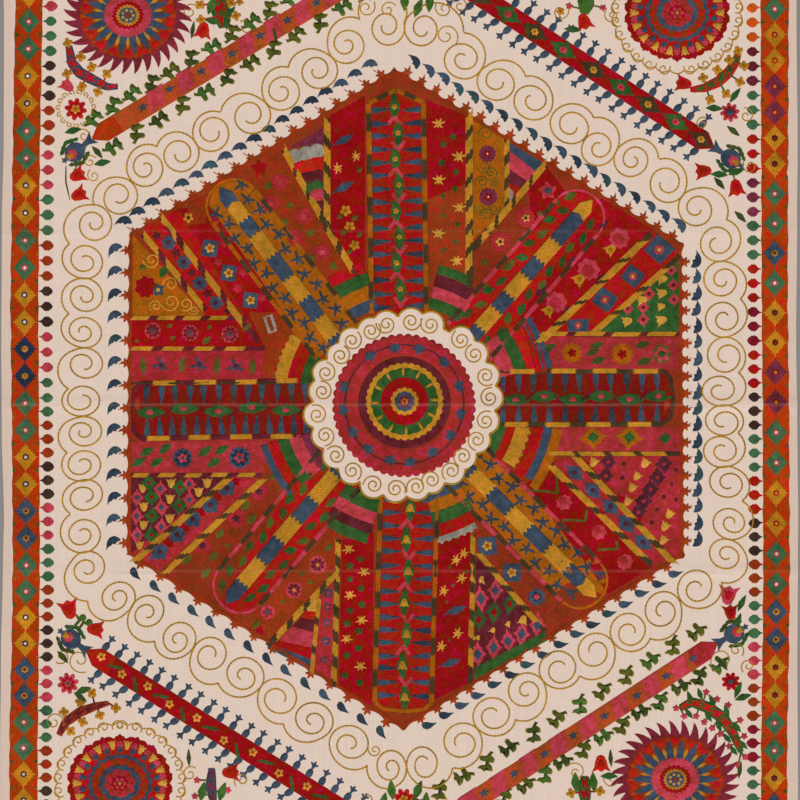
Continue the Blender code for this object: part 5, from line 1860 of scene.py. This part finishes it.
# Small sprays: branches with flowers, tulips, leaves and gold curls between the bands, rosettes and borders.
# They are light motifs of a few stitches each, drawn by hand on the bare cotton.
# Branches: their points on the chart, half width, dye and the dye of the pieces set along them
BRANCHES = (
    (((69, 46), (72, 63), (80, 73), (93, 80), (107, 87), (118, 87)), 4.6, "slate", "scarlet", "yellow",
     ((68, 43), (81, 57), (92, 67), (67, 74), (82, 87), (98, 92), (107, 74))),
    (((738, 54), (735, 63), (728, 73), (718, 82), (705, 88), (690, 90)), 4.6, "scarlet", "green", "yellow",
     ((738, 51), (729, 60), (717, 70), (703, 78), (740, 82), (726, 94), (710, 100), (744, 66))),
    (((59, 735), (66, 722), (80, 712), (96, 706), (109, 703)), 4.2, "brick", "maroon", "yellow",
     ((92, 693), (80, 702), (64, 712), (100, 715), (83, 722), (71, 731), (116, 708))),
    (((680, 708), (692, 702), (707, 707), (723, 718), (733, 733), (741, 752)), 5.0, "green", "scarlet",
     "rose", ((706, 692), (717, 699), (728, 705), (696, 716), (704, 722), (712, 728), (740, 720), (744, 736),
     (720, 734), (729, 746), (745, 757), (738, 765), (684, 716), (676, 708))),
    (((88, 142), (80, 161), (70, 178)), 0.7, "olive", "olive", "", ()),
    (((66, 166), (66, 182), (70, 200)), 0.7, "olive", "moss", "", ()),
    (((729, 170), (720, 176), (708, 173)), 0.7, "olive", "moss", "", ()),
    (((731, 170), (734, 178), (735, 186)), 0.7, "olive", "moss", "", ()),
    (((73, 628), (80, 620), (74, 612)), 1.3, "olive", "moss", "", ()),
    (((78, 630), (84, 622), (94, 628)), 1.3, "olive", "moss", "", ()),
    (((738, 622), (732, 614), (730, 600)), 0.7, "olive", "moss", "", ()),
    (((219, -10), (220, 8), (224, 28)), 8.0, "green", "red", "yellow",
     ((200, 5), (201, 20), (231, 3), (236, 16))),
    (((585, -10), (586, 4), (584, 14)), 7.0, "leaf", "leaf", "rose", ((569, 6), (603, 8))),
    (((212, 768), (211, 785), (214, 806)), 4.4, "slate", "purple", "rose",
     ((197, 780), (228, 790), (195, 796))),
    (((585, 776), (584, 788), (586, 806)), 5.4, "green", "crimson", "yellow", ((571, 793), (600, 791))),
)
SPRAYS = (
    ("five", 4.6, 0, "yellow", (("round", 1.6, "ochre"),), ((240, 2), (560, 12))),
    ("tulip", 7.0, 150, "rose", (), ((67, 86),)),
    ("tulip", 9.5, 70, "rose", (("tulip", 5.0, "scarlet"),), ((728, 595),)),
    ("tulip", 8.0, 30, "scarlet", (("tulip", 4.4, "red"),), ((78, 175), (79, 195))),
    ("tulip", 8.0, 180, "scarlet", (("tulip", 4.4, "red"),), ((703, 171), (683, 84))),
    ("tulip", 8.4, 275, "scarlet", (("tulip", 4.6, "red"),), ((203, 31), (736, 188), (601, 764), (584, 22))),
    ("tulip", 9.6, 115, "scarlet", (("tulip", 5.4, "red"),), ((69, 609),)),
    ("tulip", 8.4, 350, "scarlet", (("tulip", 4.6, "red"),), ((96, 629), (231, 772))),
    ("tulip", 7.6, 80, "red", (("tulip", 4.2, "crimson"),), ((730, 612),)),
    ("round", 3.6, 0, "leaf", (), ((83, 618), (89, 622))),
    ("eight", 11.5, 0, "scarlet",
     (("eight", 7.6, "crimson"), ("five", 5.2, "lemon"), ("round", 2.4, "ochre")), ((76, 109), (404, 799))),
    ("eight", 10.0, 0, "rose", (("eight", 6.6, "crimson"), ("round", 3.6, "slate")), ((729.5, 112.5),)),
    ("eight", 9.6, 0, "red", (("eight", 6.0, "crimson"), ("round", 2.6, "teal")), ((730.5, 681),)),
    ("eight", 11.0, 0, "rose", (("eight", 7.4, "crimson"), ("five", 4.4, "rose"), ("round", 2.0, "teal")),
     ((68, 683),)),
    ("leaf", (9, 3.6), 60, "green", (), ((735, 96), (738, 622), (742, 603), (229, 14), (738, 690))),
    ("leaf", (8, 3.4), -40, "moss", (),
     ((733, 131), (740, 217), (722, 664), (97, 152), (719, 183), (80, 697), (63, 657))),
    ("leaf", (8.5, 4), 5, "green", (), ((73, 131), (714, 109), (743, 697), (719, 175), (83, 690), (213, 22),
     (573, 30), (102, 163), (736, 172), (609, 776))),
    ("leaf", (9, 2.6), 90, "moss", (), ((193, 30), (611, 758), (189, 758), (740, 770), (275, 34), (528, 30))),
    ("leaf", (10, 5), 80, "leaf", (), ((227, 20), (212, 6), (203, 792), (222, 792), (576, 782), (594, 782),
     (405, 2), (418, 8), (430, 3), (392, 790), (418, 790), (408, -12), (384, 802), (426, 802))),
    ("leaf", (6.5, 3.0), 120, "green", (), ((700, 694), (712, 700), (727, 711), (737, 727), (743, 744),
     (690, 697), (689, 713), (719, 726), (727, 738), (733, 750), (708, 716))),
)
SPRAY_CURLS = (
    ((80, 130), (84, 136), -1), ((90, 170), (94, 176), 1), ((96, 158), (90, 162), 1),
    ((706, 118), (702, 124), 1), ((744, 108), (746, 116), -1), ((744, 160), (750, 166), 1),
    ((86, 672), (80, 660), -1),
    ((56, 662), (62, 656), 1), ((64, 726), (54, 722), 1), ((742, 656), (736, 650), 1),
    ((716, 672), (722, 660), -1),
    ((743, 672), (748, 666), -1), ((604, 774), (612, 779), 1), ((570, 764), (576, 772), -1),
    ((196, 768), (190, 774), 1),
    ((236, 786), (242, 780), -1), ((196, 6), (190, 12), 1), ((240, 22), (246, 28), -1),
    ((606, 10), (612, 16), 1),
    ((566, 4), (560, 12), -1), ((436, 4), (444, 9), 1), ((452, 2), (460, 6), -1), ((396, 6), (388, 10), 1),
    ((374, 2), (366, 8), -1), ((432, 806), (440, 800), 1), ((376, 806), (368, 800), -1),
    ((224, 62), (232, 58), 1),
)


def make_sprays():
    """Work the branches with their pieces, the flowers and leaves, and the gold curls."""
    work = new_work()
    for points, half, dye, piece, bloom, places in BRANCHES:
        path = even_path(points, 2.0)
        taper = half * (0.45 + 0.75 * np.sin(math.pi * np.linspace(0.12, 0.95, len(path))))
        line(work, spot(*path.T), taper, dye)
        if half > 1.0:
            for place in range(3, len(path) - 3, 6):
                facing = bearing(path[place + 1] - path[place])
                dash(work, path[place], 9.0, taper[place] * 1.1, facing + 14, piece, 1, teeth=1, tooth=2.6)
        for at in places:
            near = path[np.argmin(np.hypot(*(path - at).T))]
            line(work, spot(*np.linspace(near, at, 4).T), 0.9, "olive" if bloom == "rose" else piece)
            if bloom == "rose":
                pad(work, at, star(5, 0.4), 4.2, dye_lots.uniform(0, 70), bloom, layer=1)
            else:
                blossom(work, at, 5.4, bloom, "ochre", 1, petals=4)
    for shape, size, turn, dye, hearts, places in SPRAYS:
        for at in places:
            near = np.array(at) + dye_lots.uniform(-0.4, 0.4, 2)
            facing = turn + dye_lots.uniform(-16, 16)
            pad(work, near, SHAPES[shape], size, facing, dye, layer=1.2)
            for number, (heart, reach, colour) in enumerate(hearts, 1):
                pad(work, near, SHAPES[heart], reach, facing, colour, layer=1.2 + number)
    for number in range(15):
        way = 2.0 * math.pi * number / 15
        start = (76 + 15.5 * math.cos(way), 109 - 14.5 * math.sin(way))
        middle = (76 + 17.6 * math.cos(way + 0.17), 109 - 16.6 * math.sin(way + 0.17))
        small_curl(work, start, middle, 1, "gold", turns=1.1, width=0.55)
    for start, middle, hand in SPRAY_CURLS:
        small_curl(work, start, middle, hand, "gold", turns=1.3, width=0.6)
    finish_work("small_sprays", work)


make_sprays()
